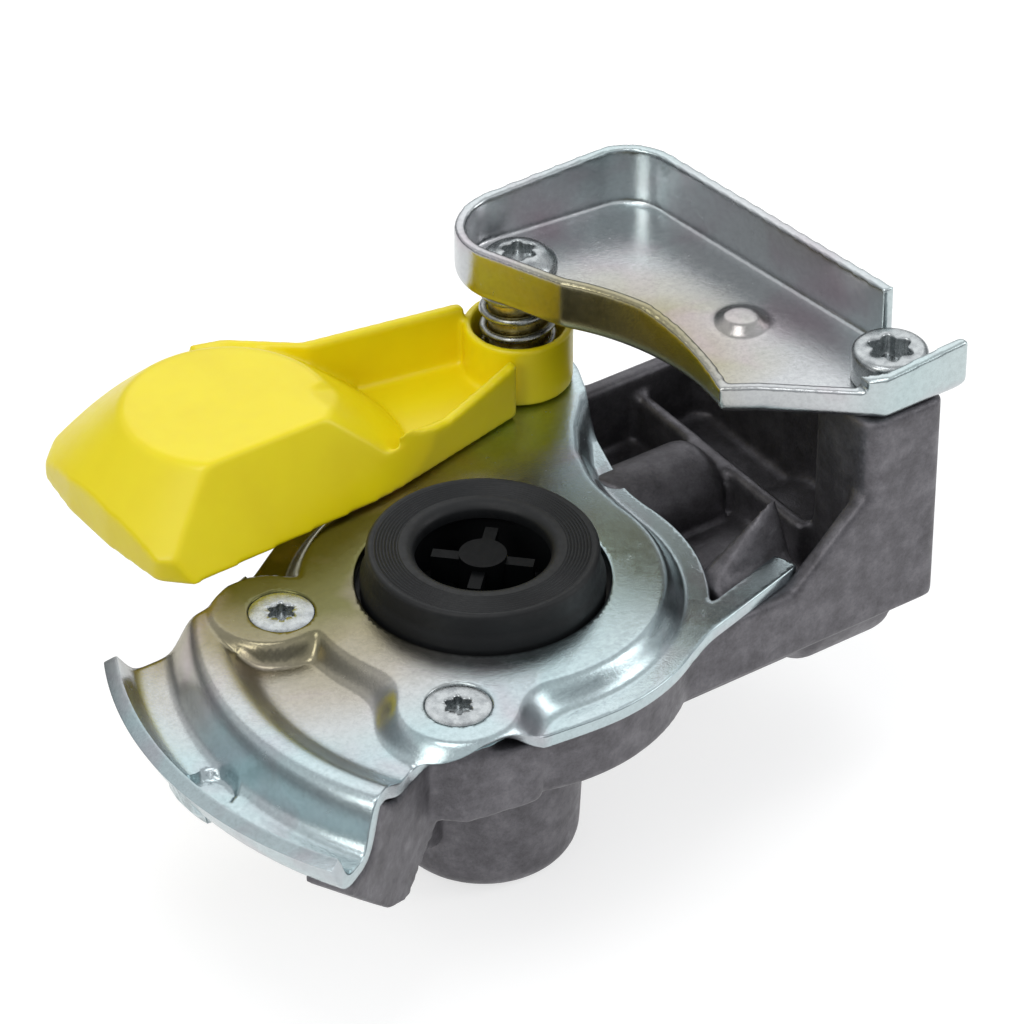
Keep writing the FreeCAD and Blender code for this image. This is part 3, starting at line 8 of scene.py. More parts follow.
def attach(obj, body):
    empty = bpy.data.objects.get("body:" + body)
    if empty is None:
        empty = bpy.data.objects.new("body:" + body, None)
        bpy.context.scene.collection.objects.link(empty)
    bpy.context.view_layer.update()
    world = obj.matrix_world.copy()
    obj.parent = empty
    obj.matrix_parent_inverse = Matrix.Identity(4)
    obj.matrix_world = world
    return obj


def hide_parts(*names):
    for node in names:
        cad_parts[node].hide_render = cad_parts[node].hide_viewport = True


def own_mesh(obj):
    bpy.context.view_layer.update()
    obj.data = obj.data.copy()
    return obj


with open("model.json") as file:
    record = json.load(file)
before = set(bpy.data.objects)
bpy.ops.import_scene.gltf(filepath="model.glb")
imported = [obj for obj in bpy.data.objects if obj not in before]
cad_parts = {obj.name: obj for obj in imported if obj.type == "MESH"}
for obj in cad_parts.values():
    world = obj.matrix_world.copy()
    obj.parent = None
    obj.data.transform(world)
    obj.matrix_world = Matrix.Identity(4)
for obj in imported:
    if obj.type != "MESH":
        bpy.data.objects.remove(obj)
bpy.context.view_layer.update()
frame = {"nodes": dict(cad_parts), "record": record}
scene = bpy.context.scene
scene.view_settings.view_transform = "Standard"
mm = 0.001


# Node helpers


def hexColour(text):
    # sRGB hex to linear
    values = [int(text[i:i + 2], 16) / 255.0 for i in (0, 2, 4)]
    return tuple(v / 12.92 if v <= 0.04045 else ((v + 0.055) / 1.055) ** 2.4 for v in values) + (1.0,)


def setInputs(tree, node, inputs):
    # an input that is a socket is linked, any other is set
    for word, value in inputs.items():
        if isinstance(value, bpy.types.NodeSocket):
            tree.links.new(value, node.inputs[word])
        else:
            node.inputs[word].default_value = value


def addNode(tree, kind, settings=None, inputs=None):
    # settings are the node's own properties
    node = tree.nodes.new(kind)
    for word, value in (settings or {}).items():
        setattr(node, word, value)
    setInputs(tree, node, inputs or {})
    return node


def calculate(tree, operation, first, second):
    return addNode(tree, "ShaderNodeMath", {"operation": operation}, {0: first, 1: second}).outputs[0]


def mapRange(tree, value, fromRange, toRange=(0.0, 1.0), clamp=True):
    return addNode(tree, "ShaderNodeMapRange", {"clamp": clamp}, {
        "Value": value, "From Min": fromRange[0], "From Max": fromRange[1],
        "To Min": toRange[0], "To Max": toRange[1]}).outputs["Result"]


def ramp(tree, factor, stops):
    # a stop's colour is sRGB hex, or a number for a grey
    node = addNode(tree, "ShaderNodeValToRGB", None, {"Fac": factor})
    elements = node.color_ramp.elements
    while len(elements) < len(stops):
        elements.new(0.5)
    for element, (at, colour) in zip(elements, stops):
        element.position = at
        element.color = hexColour(colour) if isinstance(colour, str) else (colour, colour, colour, 1.0)
    return node.outputs["Color"]


# Camera and light

cameraSettings = {
    "place": (-0.4108, -0.5951, 0.5360),
    "right": (0.81915, -0.57358, 0.0),
    "up": (0.33876, 0.48380, 0.80699),
    "lens": 191.4,
    "sensor": 36.0,
    "clip": (0.05, 20.0),
}

stageSettings = {
    "floorHeight": -0.0622,      # just under the boss
    "floorSize": 6.0,
    "floorColour": "B9B9B9",
    "floorRoughness": 0.9,
    "floorGlow": 0.66,           # seen by the camera and in reflections only
    "worldStrength": 1.0,
    "worldStops": [(0.0, "6E7073"), (0.50, "85888B"), (0.68, "A4A7AA"), (0.79, "F2F4F6"), (1.0, "DCDEE0")],
}

lampSettings = [                 # name, place, aim, width, height, power, colour
    ("topBox", (-0.30, -0.10, 1.20), (0.0, 0.0, 0.0), 0.45, 0.45, 2.3, "FFFFFF"),
    ("backBox", (0.55, 0.79, 0.71), (0.0, 0.0, 0.0), 1.00, 1.00, 2.3, "FFFFFF"),
    ("keyBox", (-0.90, -0.25, 0.70), (0.0, 0.0, 0.0), 0.45, 0.45, 2.4, "FFFDF8"),
    ("sideBox", (0.85, -0.60, 0.50), (0.02, 0.0, 0.0), 0.35, 0.60, 2.0, "FFFFFF"),
]


def makeCamera():
    data = bpy.data.cameras.new("photoCamera")
    data.lens = cameraSettings["lens"]
    data.sensor_width = cameraSettings["sensor"]
    data.clip_start, data.clip_end = cameraSettings["clip"]
    camera = bpy.data.objects.new("photoCamera", data)
    right = Vector(cameraSettings["right"]).normalized()
    up = Vector(cameraSettings["up"]).normalized()
    turn = Matrix((right, up, right.cross(up))).transposed()
    camera.matrix_world = Matrix.Translation(Vector(cameraSettings["place"])) @ turn.to_4x4()
    scene.collection.objects.link(camera)
    scene.camera = camera


def paperShare(tree):
    # 1 for the rays that show the white paper: the camera's, and those in metal and glass
    path = addNode(tree, "ShaderNodeLightPath").outputs
    seen = calculate(tree, "MAXIMUM", path["Is Camera Ray"], path["Is Glossy Ray"])
    return calculate(tree, "MAXIMUM", seen, path["Is Transmission Ray"])


def makeFloor():
    half, low = stageSettings["floorSize"], stageSettings["floorHeight"]
    mesh = bpy.data.meshes.new("floor")
    mesh.from_pydata([(-half, -half, low), (half, -half, low), (half, half, low), (-half, half, low)],
                     [], [(0, 1, 2, 3)])
    floor = bpy.data.objects.new("floor", mesh)
    scene.collection.objects.link(floor)
    material = bpy.data.materials.new("paperFloor")
    material.use_nodes = True
    tree = material.node_tree
    glow = calculate(tree, "MULTIPLY", paperShare(tree), stageSettings["floorGlow"])
    setInputs(tree, tree.nodes["Principled BSDF"], {
        "Base Color": hexColour(stageSettings["floorColour"]), "Roughness": stageSettings["floorRoughness"],
        "Specular IOR Level": 0.0, "Emission Color": hexColour("FFFFFF"), "Emission Strength": glow})
    mesh.materials.append(material)


def makeWorld():
    # grey round the horizon, so that walls stay darker than what faces up
    world = bpy.data.worlds.new("studio")
    world.use_nodes = True
    tree = world.node_tree
    direction = addNode(tree, "ShaderNodeTexCoord").outputs["Generated"]
    upward = addNode(tree, "ShaderNodeSeparateXYZ", None, {0: direction}).outputs["Z"]
    sky = ramp(tree, mapRange(tree, upward, (-1.0, 1.0)), stageSettings["worldStops"])
    setInputs(tree, tree.nodes["Background"], {"Color": sky, "Strength": stageSettings["worldStrength"]})
    scene.world = world


def makeLamps():
    for name, place, aim, width, height, power, colour in lampSettings:
        data = bpy.data.lights.new(name, "AREA")
        data.shape = "RECTANGLE"
        data.size = width
        data.size_y = height
        data.energy = power
        data.color = hexColour(colour)[:3]
        lamp = bpy.data.objects.new(name, data)
        lamp.location = place
        lamp.rotation_mode = "QUATERNION"
        lamp.rotation_quaternion = (Vector(aim) - Vector(place)).to_track_quat("-Z", "Y")
        scene.collection.objects.link(lamp)


makeCamera()
makeFloor()
makeWorld()
makeLamps()
print("camera and stage ready")


# Materials; a pattern is a noise's size in millimetres, detail, roughness and distortion

zincTintsAndPaintedShade = {                    # the tint changes with the distance from a point, in millimetres; its stops are partly the passivation's real tint and partly painted light: darker near the point as painted shade, lighter farther off and along the crest as painted highlight
    "claw": {"from": (-22.0, 20.0, -8.0), "reach": 62.0, "wander": 0.15,
             "stops": [(0.08, "636137"), (0.25, "6C6A45"), (0.37, "8E8770"), (0.50, "A5A198"),
                       (0.62, "B1B4B4"), (0.78, "ACBEC1"), (0.95, "B6C4C7")]},
    "guide": {"from": (36.0, 12.0, 12.0), "reach": 60.0, "wander": 0.12,
              "stops": [(0.10, "8C865E"), (0.24, "979070"), (0.36, "A9A79E"), (0.48, "B4B6B7"),
                        (0.68, "C0C3C5"), (0.84, "B6C5C6"), (1.0, "BCC7C8")]},
}

zincSkin = {
    "metal": 1.0, "wander": (24.0, 2.0, 0.5, 0.6),
    "rose": "AD9EA6", "clouds": (15.0, 2.0, 0.5, 0.5), "cloudStops": [(0.52, 0.0), (0.72, 0.5)],
    "specks": (0.9, 5.0, 0.8), "speckStops": [(0.36, 0.78), (0.58, 1.0)], "speckShare": 0.55,
    "polish": (2.4, 6.0, 0.7), "roughness": (0.16, 0.28),
    "grain": (0.42, 4.0, 0.75), "grainStrength": 0.30, "grainDepth": 0.1,
}

castSkin = {
    "metal": 0.85,
    "clouds": (5.5, 6.0, 0.72), "cloudStops": [(0.30, "565457"), (0.50, "69676B"), (0.72, "7F7D81")],
    "specks": (0.5, 4.0, 0.8), "speckStops": [(0.38, 0.72), (0.55, 1.0)], "speckShare": 0.6,
    "polish": (2.0, 5.0, 0.7), "roughness": (0.38, 0.58),
    "grain": (0.8, 6.0, 0.7), "grainStrength": 0.35, "grainDepth": 0.25,
}

mouldedSkin = {
    "clouds": (14.0, 3.0, 0.6), "cloudSpan": (0.35, 0.60),
    "polish": (1.2, 4.0, 0.6), "polishSpan": (-0.05, 0.07),
    "grainDetail": (3.0, 0.6), "grainDepth": 0.1, "scatterDepth": 0.002,
}

mouldedKinds = {
    "yellow_plastic": {"name": "yellowPolyamide", "colour": "EEDB08", "shade": "EAD507", "roughness": 0.34,
                       "grain": 0.5, "grainStrength": 0.05, "scatter": 0.06, "gloss": 0.5},
    "black_rubber": {"name": "blackRubber", "colour": "101214", "shade": "0A0B0D", "roughness": 0.50,
                     "grain": 0.4, "grainStrength": 0.12, "scatter": 0.0, "gloss": 0.36},
    "black_plastic": {"name": "blackAcetal", "colour": "08090A", "shade": "050606", "roughness": 0.42,
                      "grain": 0.4, "grainStrength": 0.06, "scatter": 0.0, "gloss": 0.08},
}

turnedSkin = {
    "clouds": (1.5, 4.0, 0.6), "cloudSpan": (0.35, 0.60),
    "polish": (0.8, 4.0, 0.7), "polishSpan": (-0.06, 0.08),
    "grainDetail": (3.0, 0.6), "grainStrength": 0.15, "grainDepth": 0.1,
}

turnedKinds = {
    "zinc_steel": {"name": "zincPlatedSteel", "colour": "B2B6B7", "shade": "94989A", "roughness": 0.26,
                   "grain": 0.3},
    "spring_steel": {"name": "springWire", "colour": "A9ABA9", "shade": "828482", "roughness": 0.28,
                     "grain": 0.3},
    "turned_aluminium": {"name": "turnedAluminium", "colour": "C2C3C5", "shade": "A9AAAC", "roughness": 0.35,
                         "grain": 0.25},
    "yellow_chromate": {"name": "yellowPassivatedSteel", "colour": "C9BC84", "shade": "A99A5E",
                        "roughness": 0.3, "grain": 0.3},
}

ownFinish = {"guide_plate": "zinc_guide"}    # the tray has its slot's finish with tints, painted shade and painted highlight of its own
noiseSpan = (0.3, 0.7)                       # nearly all of a noise's values


def perMetre(size):
    # a texture's scale for a pattern of this size in millimetres
    return 1.0 / (size * mm)


def startMaterial(name):
    material = bpy.data.materials.new(name)
    material.use_nodes = True
    tree = material.node_tree
    place = addNode(tree, "ShaderNodeTexCoord").outputs["Object"]
    return material, tree, tree.nodes["Principled BSDF"], place


def noise(tree, place, size, detail, roughness, distortion=0.0):
    return addNode(tree, "ShaderNodeTexNoise", None, {
        "Vector": place, "Scale": perMetre(size), "Detail": detail, "Roughness": roughness,
        "Distortion": distortion}).outputs["Fac"]


def uneven(tree, place, pattern, span):
    return mapRange(tree, noise(tree, place, *pattern), noiseSpan, span)


def grainy(tree, place, pattern, strength, depth):
    return addNode(tree, "ShaderNodeBump", None, {
        "Height": noise(tree, place, *pattern), "Strength": strength,
        "Distance": depth * mm}).outputs["Normal"]


def specked(tree, place, colours, skin):
    specks = ramp(tree, noise(tree, place, *skin["specks"]), skin["speckStops"])
    return addNode(tree, "ShaderNodeMixRGB", {"blend_type": "MULTIPLY"}, {
        "Fac": skin["speckShare"], "Color1": colours, "Color2": specks}).outputs["Color"]


def finishMetal(tree, place, shader, colours, skin):
    setInputs(tree, shader, {
        "Metallic": skin["metal"], "Base Color": specked(tree, place, colours, skin),
        "Roughness": uneven(tree, place, skin["polish"], skin["roughness"]),
        "Normal": grainy(tree, place, skin["grain"], skin["grainStrength"], skin["grainDepth"])})


def makeZincPlate(name, tintsAndShade):
    # zinc plated steel with a thick-film passivation: its tint goes from olive, over bare silver, to pale
    # teal, with faint rose clouds;
    # the dark olive near the tint's point is partly painted shade, the pale silver and teal partly painted
    # highlight
    material, tree, shader, place = startMaterial(name)
    # the colour by distance is partly the passivation's tint and partly painted shade and painted highlight
    distance = addNode(tree, "ShaderNodeVectorMath", {"operation": "DISTANCE"}, {
        0: place, 1: tuple(value * mm for value in tintsAndShade["from"])}).outputs["Value"]
    tintAndShadeDrift = mapRange(tree, distance, (0.0, tintsAndShade["reach"] * mm), clamp=False)
    wander = mapRange(tree, noise(tree, place, *zincSkin["wander"]), (0.0, 1.0),
                      (-tintsAndShade["wander"], tintsAndShade["wander"]), clamp=False)
    colours = ramp(tree, calculate(tree, "ADD", tintAndShadeDrift, wander), tintsAndShade["stops"])
    clouds = ramp(tree, noise(tree, place, *zincSkin["clouds"]), zincSkin["cloudStops"])
    colours = addNode(tree, "ShaderNodeMixRGB", None, {
        "Fac": clouds, "Color1": colours, "Color2": hexColour(zincSkin["rose"])}).outputs["Color"]
    finishMetal(tree, place, shader, colours, zincSkin)
    return material


def makeCastAluminium(name):
    # pressure die-cast aluminium: a dull skin, cloudy grey where the melt cooled first, fine pits
    material, tree, shader, place = startMaterial(name)
    colours = ramp(tree, noise(tree, place, *castSkin["clouds"]), castSkin["cloudStops"])
    finishMetal(tree, place, shader, colours, castSkin)
    return material


def makeEvenSkin(kind, skin, strength, rest):
    # one colour right through, with faint clouds, an uneven polish and the tool's grain
    material, tree, shader, place = startMaterial(kind["name"])
    low, high = skin["cloudSpan"]
    colours = ramp(tree, noise(tree, place, *skin["clouds"]), [(low, kind["shade"]), (high, kind["colour"])])
    rough = tuple(kind["roughness"] + step for step in skin["polishSpan"])
    setInputs(tree, shader, {
        "Base Color": colours, "Roughness": uneven(tree, place, skin["polish"], rough),
        "Normal": grainy(tree, place, (kind["grain"], *skin["grainDetail"]), strength, skin["grainDepth"]),
        **rest})
    return material


def makeMoulded(kind):
    # moulded plastic or rubber
    return makeEvenSkin(kind, mouldedSkin, kind["grainStrength"], {
        "Specular IOR Level": kind["gloss"], "Subsurface Weight": kind["scatter"],
        "Subsurface Scale": mouldedSkin["scatterDepth"]})


def makeTurnedMetal(kind):
    # plated fasteners, springs and turned parts
    return makeEvenSkin(kind, turnedSkin, turnedSkin["grainStrength"], {"Metallic": 1.0})


materials = {
    "zinc_plate": makeZincPlate("zincPlatedSheet", zincTintsAndPaintedShade["claw"]),
    "zinc_guide": makeZincPlate("zincPlatedTray", zincTintsAndPaintedShade["guide"]),
    "cast_aluminium": makeCastAluminium("dieCastAluminium"),
}
materials.update({slot: makeMoulded(kind) for slot, kind in mouldedKinds.items()})
materials.update({slot: makeTurnedMetal(kind) for slot, kind in turnedKinds.items()})
for entry in frame["record"]["subparts"]:
    node = frame["nodes"][entry["node"]]
    node.data.materials.clear()
    node.data.materials.append(materials[ownFinish.get(entry["node"], entry["material_slot"])])
print("materials ready")


# Mesh helpers


def finishPiece(piece, body, slot, replaced, sharp=None):
    # smooth shading but for edges sharper than this angle, a material, a body and the node it stands for
    mesh = piece.data
    mesh.shade_smooth()
    if sharp:
        mesh.set_sharp_from_angle(angle=math.radians(sharp))
    mesh.materials.clear()
    mesh.materials.append(materials[ownFinish.get(replaced, slot)])
    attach(piece, body)
    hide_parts(replaced)


def addPiece(name, points, faces, body, slot, replaced, sharp):
    # points are in millimetres
    mesh = bpy.data.meshes.new(name)
    mesh.from_pydata([tuple(float(value) * mm for value in point) for point in points], [], faces)
    mesh.validate()
    piece = bpy.data.objects.new(name, mesh)
    scene.collection.objects.link(piece)
    finishPiece(piece, body, slot, replaced, sharp)
    return piece


def lathe(name, profile, at, segments, slot, replaced, lobes=0, lobeDepth=0.0):
    # turns (radius, height) points about an upright axis; a third value of 1 cuts the radius into lobes
    angles = np.linspace(0, 2 * math.pi, segments, endpoint=False)
    points = []
    rings = []
    for entry in profile:
        radius, height = entry[0], entry[1]
        share = entry[2] if len(entry) > 2 else 0.0
        if radius < 1e-6:
            rings.append([len(points)])
            points.append((at[0], at[1], height))
            continue
        rings.append(list(range(len(points), len(points) + segments)))
        for angle in angles:
            r = radius * (1 + share * lobeDepth * (math.cos(lobes * angle) - 1))
            points.append((at[0] + r * math.cos(angle), at[1] + r * math.sin(angle), height))
    faces = []
    pairs = list(zip(rings, rings[1:]))
    if len(rings[0]) > 1 and len(rings[-1]) > 1:
        pairs.append((rings[-1], rings[0]))
    for lower, upper in pairs:
        for i in range(segments):
            j = (i + 1) % segments
            if len(lower) == 1:
                faces.append((lower[0], upper[j], upper[i]))
            elif len(upper) == 1:
                faces.append((lower[i], lower[j], upper[0]))
            else:
                faces.append((lower[i], lower[j], upper[j], upper[i]))
    return addPiece(name, points, faces, "coupling", slot, replaced, 40)


# Claw plate, in millimetres and degrees; pairs are for the band's two ends

claw = {
    "sheet": 2.5, "edgeRound": 0.25, "grid": 0.7, "low": (-70, -50), "high": (52, 58),
    "top": -6.5, "base": -10.5, "hole": 21.3, "flat": 30.0, "foot": 34.0, "edge": 36.8,
    "centre": (0.0, -11.0), "angles": (146.0, 210.0), "pastEnd": 1.1, "side": 19.5, "inner": 26.0,
    "front": -5.0, "bandAngles": (130, 222), "bandFrom": 30,
    "rise": 44.4, "crest": (50.0, 54.6), "crestTop": -7.0, "trough": (57.6, 64.3),
    "troughFloor": (-13.2, -15.4), "rim": 67.0, "rimTop": (-8.4, -9.0), "bend": 1.05,
    "screws": ((-32.62, 11.23), (-22.77, -25.92)), "screwHole": 5.75,
    "padEdge": ((-32.62, 11.23, 11.6), (-26.0, -26.8, 9.6)),
    "pads": (((-34.0, 13.0), 9.2, 11.6, 0.7), ((-22.77, -25.92), 9.4, 14.2, 1.5)),  # centre, top, foot, blend
    "pivot": (38.0, 44.0), "pivotHole": 4.4, "armEnd": 11.0, "armFoot": 12.0, "tongueRound": 0.6,
    "blends": {"band": 1.2, "pad": 2.5, "arm": 2.5, "tongue": 2.0, "armFoot": 3.0, "crest": 1.2},
}
detent = {"angle": 181.5, "outward": 1.0, "radius": 4.2, "depth": 1.6, "slope": 0.7}
bandGrid = {"from": 20.0, "to": 74.0, "pitch": 0.1, "reach": 30, "past": 4}
cutEdge = ((0.06, 0.7), (0.16, 1.0), (0.84, 1.0), (0.94, 0.7))    # shares of the thickness and the round

armEdge = [(0, 25.3), (28.9, 50.2), (38, 44), (48.2, 39.9), (44.9, 32.2), (41.8, 25.3), (39.4, 17.9),
           (36.2, 7.6), (33.0, -2.0), (10, 0)]
armFlat = [(0, 24), (28.9, 50.2), (38, 44), (48.2, 39.9), (43.6, 33.6), (37.4, 27.2), (33.4, 21.1),
           (30.8, 14.1), (29.0, 6.3), (10, 0)]
tongue = [(20.6, -30.2), (47.5, -22.8), (46.5, -19.4), (15.0, -28.0)]


def smoothStep(value):
    t = np.clip(value, 0, 1)
    return t * t * (3 - 2 * t)


def smoothMax(a, b, reach):
    share = np.clip(0.5 + (a - b) / (2 * reach), 0, 1)
    return b + (a - b) * share + reach * share * (1 - share)


def smoothMin(a, b, reach):
    return -smoothMax(-a, -b, reach)


def circleDistance(x, y, centre, radius):
    return np.hypot(x - centre[0], y - centre[1]) - radius


def polygonDistance(x, y, corners):
    # signed distance to a polygon, negative inside
    corners = np.array(corners, float)
    nearest = np.full(x.shape, 1e9)
    inside = np.zeros(x.shape, bool)
    for (ax, ay), (bx, by) in zip(corners, np.roll(corners, -1, axis=0)):
        ex, ey = bx - ax, by - ay
        t = np.clip(((x - ax) * ex + (y - ay) * ey) / (ex * ex + ey * ey), 0, 1)
        nearest = np.minimum(nearest, np.hypot(x - ax - t * ex, y - ay - t * ey))
        crosses = ((ay > y) != (by > y))
        with np.errstate(divide="ignore", invalid="ignore"):
            crosses &= x < (bx - ax) * (y - ay) / (by - ay) + ax
        inside ^= crosses
    return np.where(inside, -nearest, nearest)


def hullDistance(x, y, sx, sy, reach):
    # signed distance to the hull of the dish and a pad's round edge
    length = math.hypot(sx, sy)
    along = (x * sx + y * sy) / length
    across = np.abs(x * sy - y * sx) / length
    lean = (claw["edge"] - reach) / length
    upright = math.sqrt(1 - lean * lean)
    side = upright * along - lean * across
    return np.where(side < 0, np.hypot(along, across) - claw["edge"],
                    np.where(side > upright * length, np.hypot(along - length, across) - reach,
                             lean * along + upright * across - claw["edge"]))


def clawPolar(x, y):
    radius = circleDistance(x, y, claw["centre"], 0)
    angle = np.degrees(np.arctan2(y - claw["centre"][1], x - claw["centre"][0])) % 360
    return radius, angle


def clawOutline(x, y):
    # signed distance to the plate's cut edge
    blends = claw["blends"]
    radius = clawPolar(x, y)[0]
    last = math.radians(claw["angles"][1])
    past = (x - claw["centre"][0]) * -math.sin(last) + (y - claw["centre"][1]) * math.cos(last)
    band = np.maximum.reduce([radius - claw["rim"], claw["inner"] - radius, y - claw["side"], past,
                              x - claw["front"]])
    plate = smoothMin(np.hypot(x, y) - claw["edge"], band, blends["band"])
    for sx, sy, reach in claw["padEdge"]:
        plate = smoothMin(plate, hullDistance(x, y, sx, sy, reach), blends["pad"])
    arm = np.minimum(polygonDistance(x, y, armEdge), circleDistance(x, y, claw["pivot"], claw["armEnd"]))
    plate = smoothMin(plate, arm, blends["arm"])
    return smoothMin(plate, polygonDistance(x, y, tongue) - claw["tongueRound"], blends["tongue"])


def clawEdge(x, y):
    # the outline with its holes taken out, drawn in for the rounded edge
    value = clawOutline(x, y) + claw["edgeRound"]
    value = np.maximum(value, claw["hole"] + claw["edgeRound"] - np.hypot(x, y))
    for screw in claw["screws"]:
        value = np.maximum(value, -circleDistance(x, y, screw, claw["screwHole"]))
    return np.maximum(value, -circleDistance(x, y, claw["pivot"], claw["pivotHole"]))


def bandTable():
    # the band's section at both ends, with its bends rounded by a short running mean
    pitch, reach, beyond = bandGrid["pitch"], bandGrid["reach"], bandGrid["past"]
    along = np.arange(bandGrid["from"], bandGrid["to"], pitch)
    kernel = np.exp(-0.5 * (np.arange(-reach, reach + 1) * pitch / claw["bend"]) ** 2)
    tables = []
    for trough, rim in zip(claw["troughFloor"], claw["rimTop"]):
        steep = (rim - trough) / (claw["rim"] - claw["trough"][1])
        corners = [(bandGrid["from"], claw["base"]), (claw["rise"], claw["base"]),
                   (claw["crest"][0], claw["crestTop"]), (claw["crest"][1], claw["crestTop"]),
                   (claw["trough"][0], trough), (claw["trough"][1], trough),
                   (claw["rim"] + beyond, rim + beyond * steep)]
        height = np.interp(along, [c[0] for c in corners], [c[1] for c in corners])
        padded = np.concatenate([np.full(reach, height[0]), height,
                                 height[-1] + steep * pitch * np.arange(1, reach + 1)])
        tables.append(np.convolve(padded, kernel / kernel.sum(), "valid"))
    return along, tables


bandAlong, bandHeights = bandTable()


def clawHeight(x, y):
    # the sheet's upper side
    blends = claw["blends"]
    radius, angle = clawPolar(x, y)
    first, last = claw["angles"]
    share = np.clip((angle - first) / (last - first), 0, claw["pastEnd"])
    arm = np.minimum(polygonDistance(x, y, armFlat), circleDistance(x, y, claw["pivot"], claw["armFoot"]))
    plateau = smoothMin(np.hypot(x, y) - claw["flat"], arm, blends["armFoot"])
    slope = plateau / (claw["foot"] - claw["flat"])
    for centre, top, foot, blend in claw["pads"]:
        slope = smoothMin(slope, circleDistance(x, y, centre, top) / (foot - top), blend)
    height = claw["top"] + (claw["base"] - claw["top"]) * smoothStep(slope)
    band = ((1 - share) * np.interp(radius, bandAlong, bandHeights[0])
            + share * np.interp(radius, bandAlong, bandHeights[1]))
    low, high = claw["bandAngles"]
    onBand = (angle > low) & (angle < high) & (radius > claw["bandFrom"])
    inner = smoothMax(height, band, blends["crest"])
    height = np.where(onBand, np.where(radius > claw["crest"][1], band, inner), height)
    turn = math.radians(detent["angle"])
    along = sum(claw["trough"]) / 2 + detent["outward"]
    middle = (claw["centre"][0] + along * math.cos(turn), claw["centre"][1] + along * math.sin(turn))
    inward = -circleDistance(x, y, middle, detent["radius"])
    return height - detent["depth"] * smoothStep(inward / detent["slope"] + 0.5)


def snappedGrid(distance, low, high, step):
    # an even triangle grid kept where distance is negative, its border moved on to the edge
    rowShare, probe, passes, flattest = 0.866, 0.05, 6, 0.25
    rows = int((high[1] - low[1]) / (step * rowShare)) + 1
    columns = int((high[0] - low[0]) / step) + 1
    j, i = np.meshgrid(np.arange(rows), np.arange(columns), indexing="ij")
    x = low[0] + (i + 0.5 * (j % 2)) * step
    y = low[1] + j * step * rowShare
    index = j * columns + i
    triangles = []
    for odd in (0, 1):
        r = np.arange(odd, rows - 1, 2)[:, None]
        c = np.arange(columns - 1)[None, :]
        a, b = index[r, c], index[r, c + 1]
        d, e = index[r + 1, c], index[r + 1, c + 1]
        corners = ([a, e, d], [a, b, e]) if odd else ([a, b, d], [b, e, d])
        triangles += [np.stack(three, -1).reshape(-1, 3) for three in corners]
    triangles = np.concatenate(triangles)
    inside = distance(x, y).ravel() < -0.35 * step
    kept = triangles[inside[triangles].any(axis=1)]
    used = np.unique(kept)
    px, py = x.ravel()[used].copy(), y.ravel()[used].copy()
    border = ~inside[used]
    for _ in range(passes):
        bx, by = px[border], py[border]
        here = distance(bx, by)
        gx = (distance(bx + probe, by) - here) / probe
        gy = (distance(bx, by + probe) - here) / probe
        length = np.maximum(gx * gx + gy * gy, flattest)
        px[border] = bx - here * gx / length
        py[border] = by - here * gy / length
    lookup = np.full(rows * columns, -1)
    lookup[used] = np.arange(len(used))
    return px, py, lookup[kept]


def borderEdges(triangles):
    # directed edges that only one triangle has
    edges = {}
    for a, b, c in triangles:
        for first, second in ((a, b), (b, c), (c, a)):
            edges[(first, second)] = True
    return [edge for edge in edges if (edge[1], edge[0]) not in edges]


def pressedSheet(name, distance, height, sheet, slot, replaced):
    # a sheet of even thickness over a height map, with a slightly rounded cut edge
    px, py, grid = snappedGrid(distance, sheet["low"], sheet["high"], sheet["grid"])
    probe = 0.1
    gx = (height(px + probe, py) - height(px - probe, py)) / (2 * probe)
    gy = (height(px, py + probe) - height(px, py - probe)) / (2 * probe)
    length = np.sqrt(gx * gx + gy * gy + 1)
    upper = np.stack([px, py, height(px, py)], 1)
    lower = upper - sheet["sheet"] * np.stack([-gx / length, -gy / length, 1 / length], 1)
    count = len(px)
    triangles = [tuple(int(v) for v in t) for t in grid]
    points = [tuple(p) for p in upper] + [tuple(p) for p in lower]
    faces = triangles + [tuple(v + count for v in t[::-1]) for t in triangles]
    edges = borderEdges(triangles)
    outward = {}
    for a, b in edges:
        ex, ey = px[b] - px[a], py[b] - py[a]
        size = math.hypot(ex, ey) or 1.0
        for v in (a, b):
            old = outward.get(v, (0.0, 0.0))
            outward[v] = (old[0] + ey / size, old[1] - ex / size)
    rims = {}
    for v, (ox, oy) in outward.items():
        size = math.hypot(ox, oy) or 1.0
        ox, oy = ox / size * sheet["edgeRound"], oy / size * sheet["edgeRound"]
        ring = []
        for share, out in cutEdge:
            base = upper[v] * (1 - share) + lower[v] * share
            ring.append(len(points))
            points.append((base[0] + ox * out, base[1] + oy * out, base[2]))
        rims[v] = [v] + ring + [v + count]
    for a, b in edges:
        for k in range(len(cutEdge) + 1):
            faces.append((rims[a][k], rims[a][k + 1], rims[b][k + 1], rims[b][k]))
    return addPiece(name, points, faces, "coupling", slot, replaced, 55)


clawPlate = pressedSheet("clawPlate", clawEdge, clawHeight, claw, "zinc_plate", "claw_plate")
print("claw plate", len(clawPlate.data.polygons), "faces")


# Castings, drawn tray and cap; the voxel is in millimetres

softCopies = {
    "castHousing": {"node": "housing", "voxel": 0.8, "passes": 4,
                    "body": "coupling", "slot": "cast_aluminium"},
    "guidePlate": {"node": "guide_plate", "voxel": 0.4, "passes": 9,
                   "body": "coupling", "slot": "zinc_plate"},
    "dustCap": {"node": "dust_cap", "voxel": 0.45, "passes": 14,
                "body": "cap", "slot": "yellow_plastic"},
}


def applyModifiers(piece):
    # the shape that the modifiers give becomes the mesh itself
    bpy.context.view_layer.update()
    graph = bpy.context.evaluated_depsgraph_get()
    mesh = bpy.data.meshes.new_from_object(piece.evaluated_get(graph))
    piece.modifiers.clear()
    piece.data = mesh


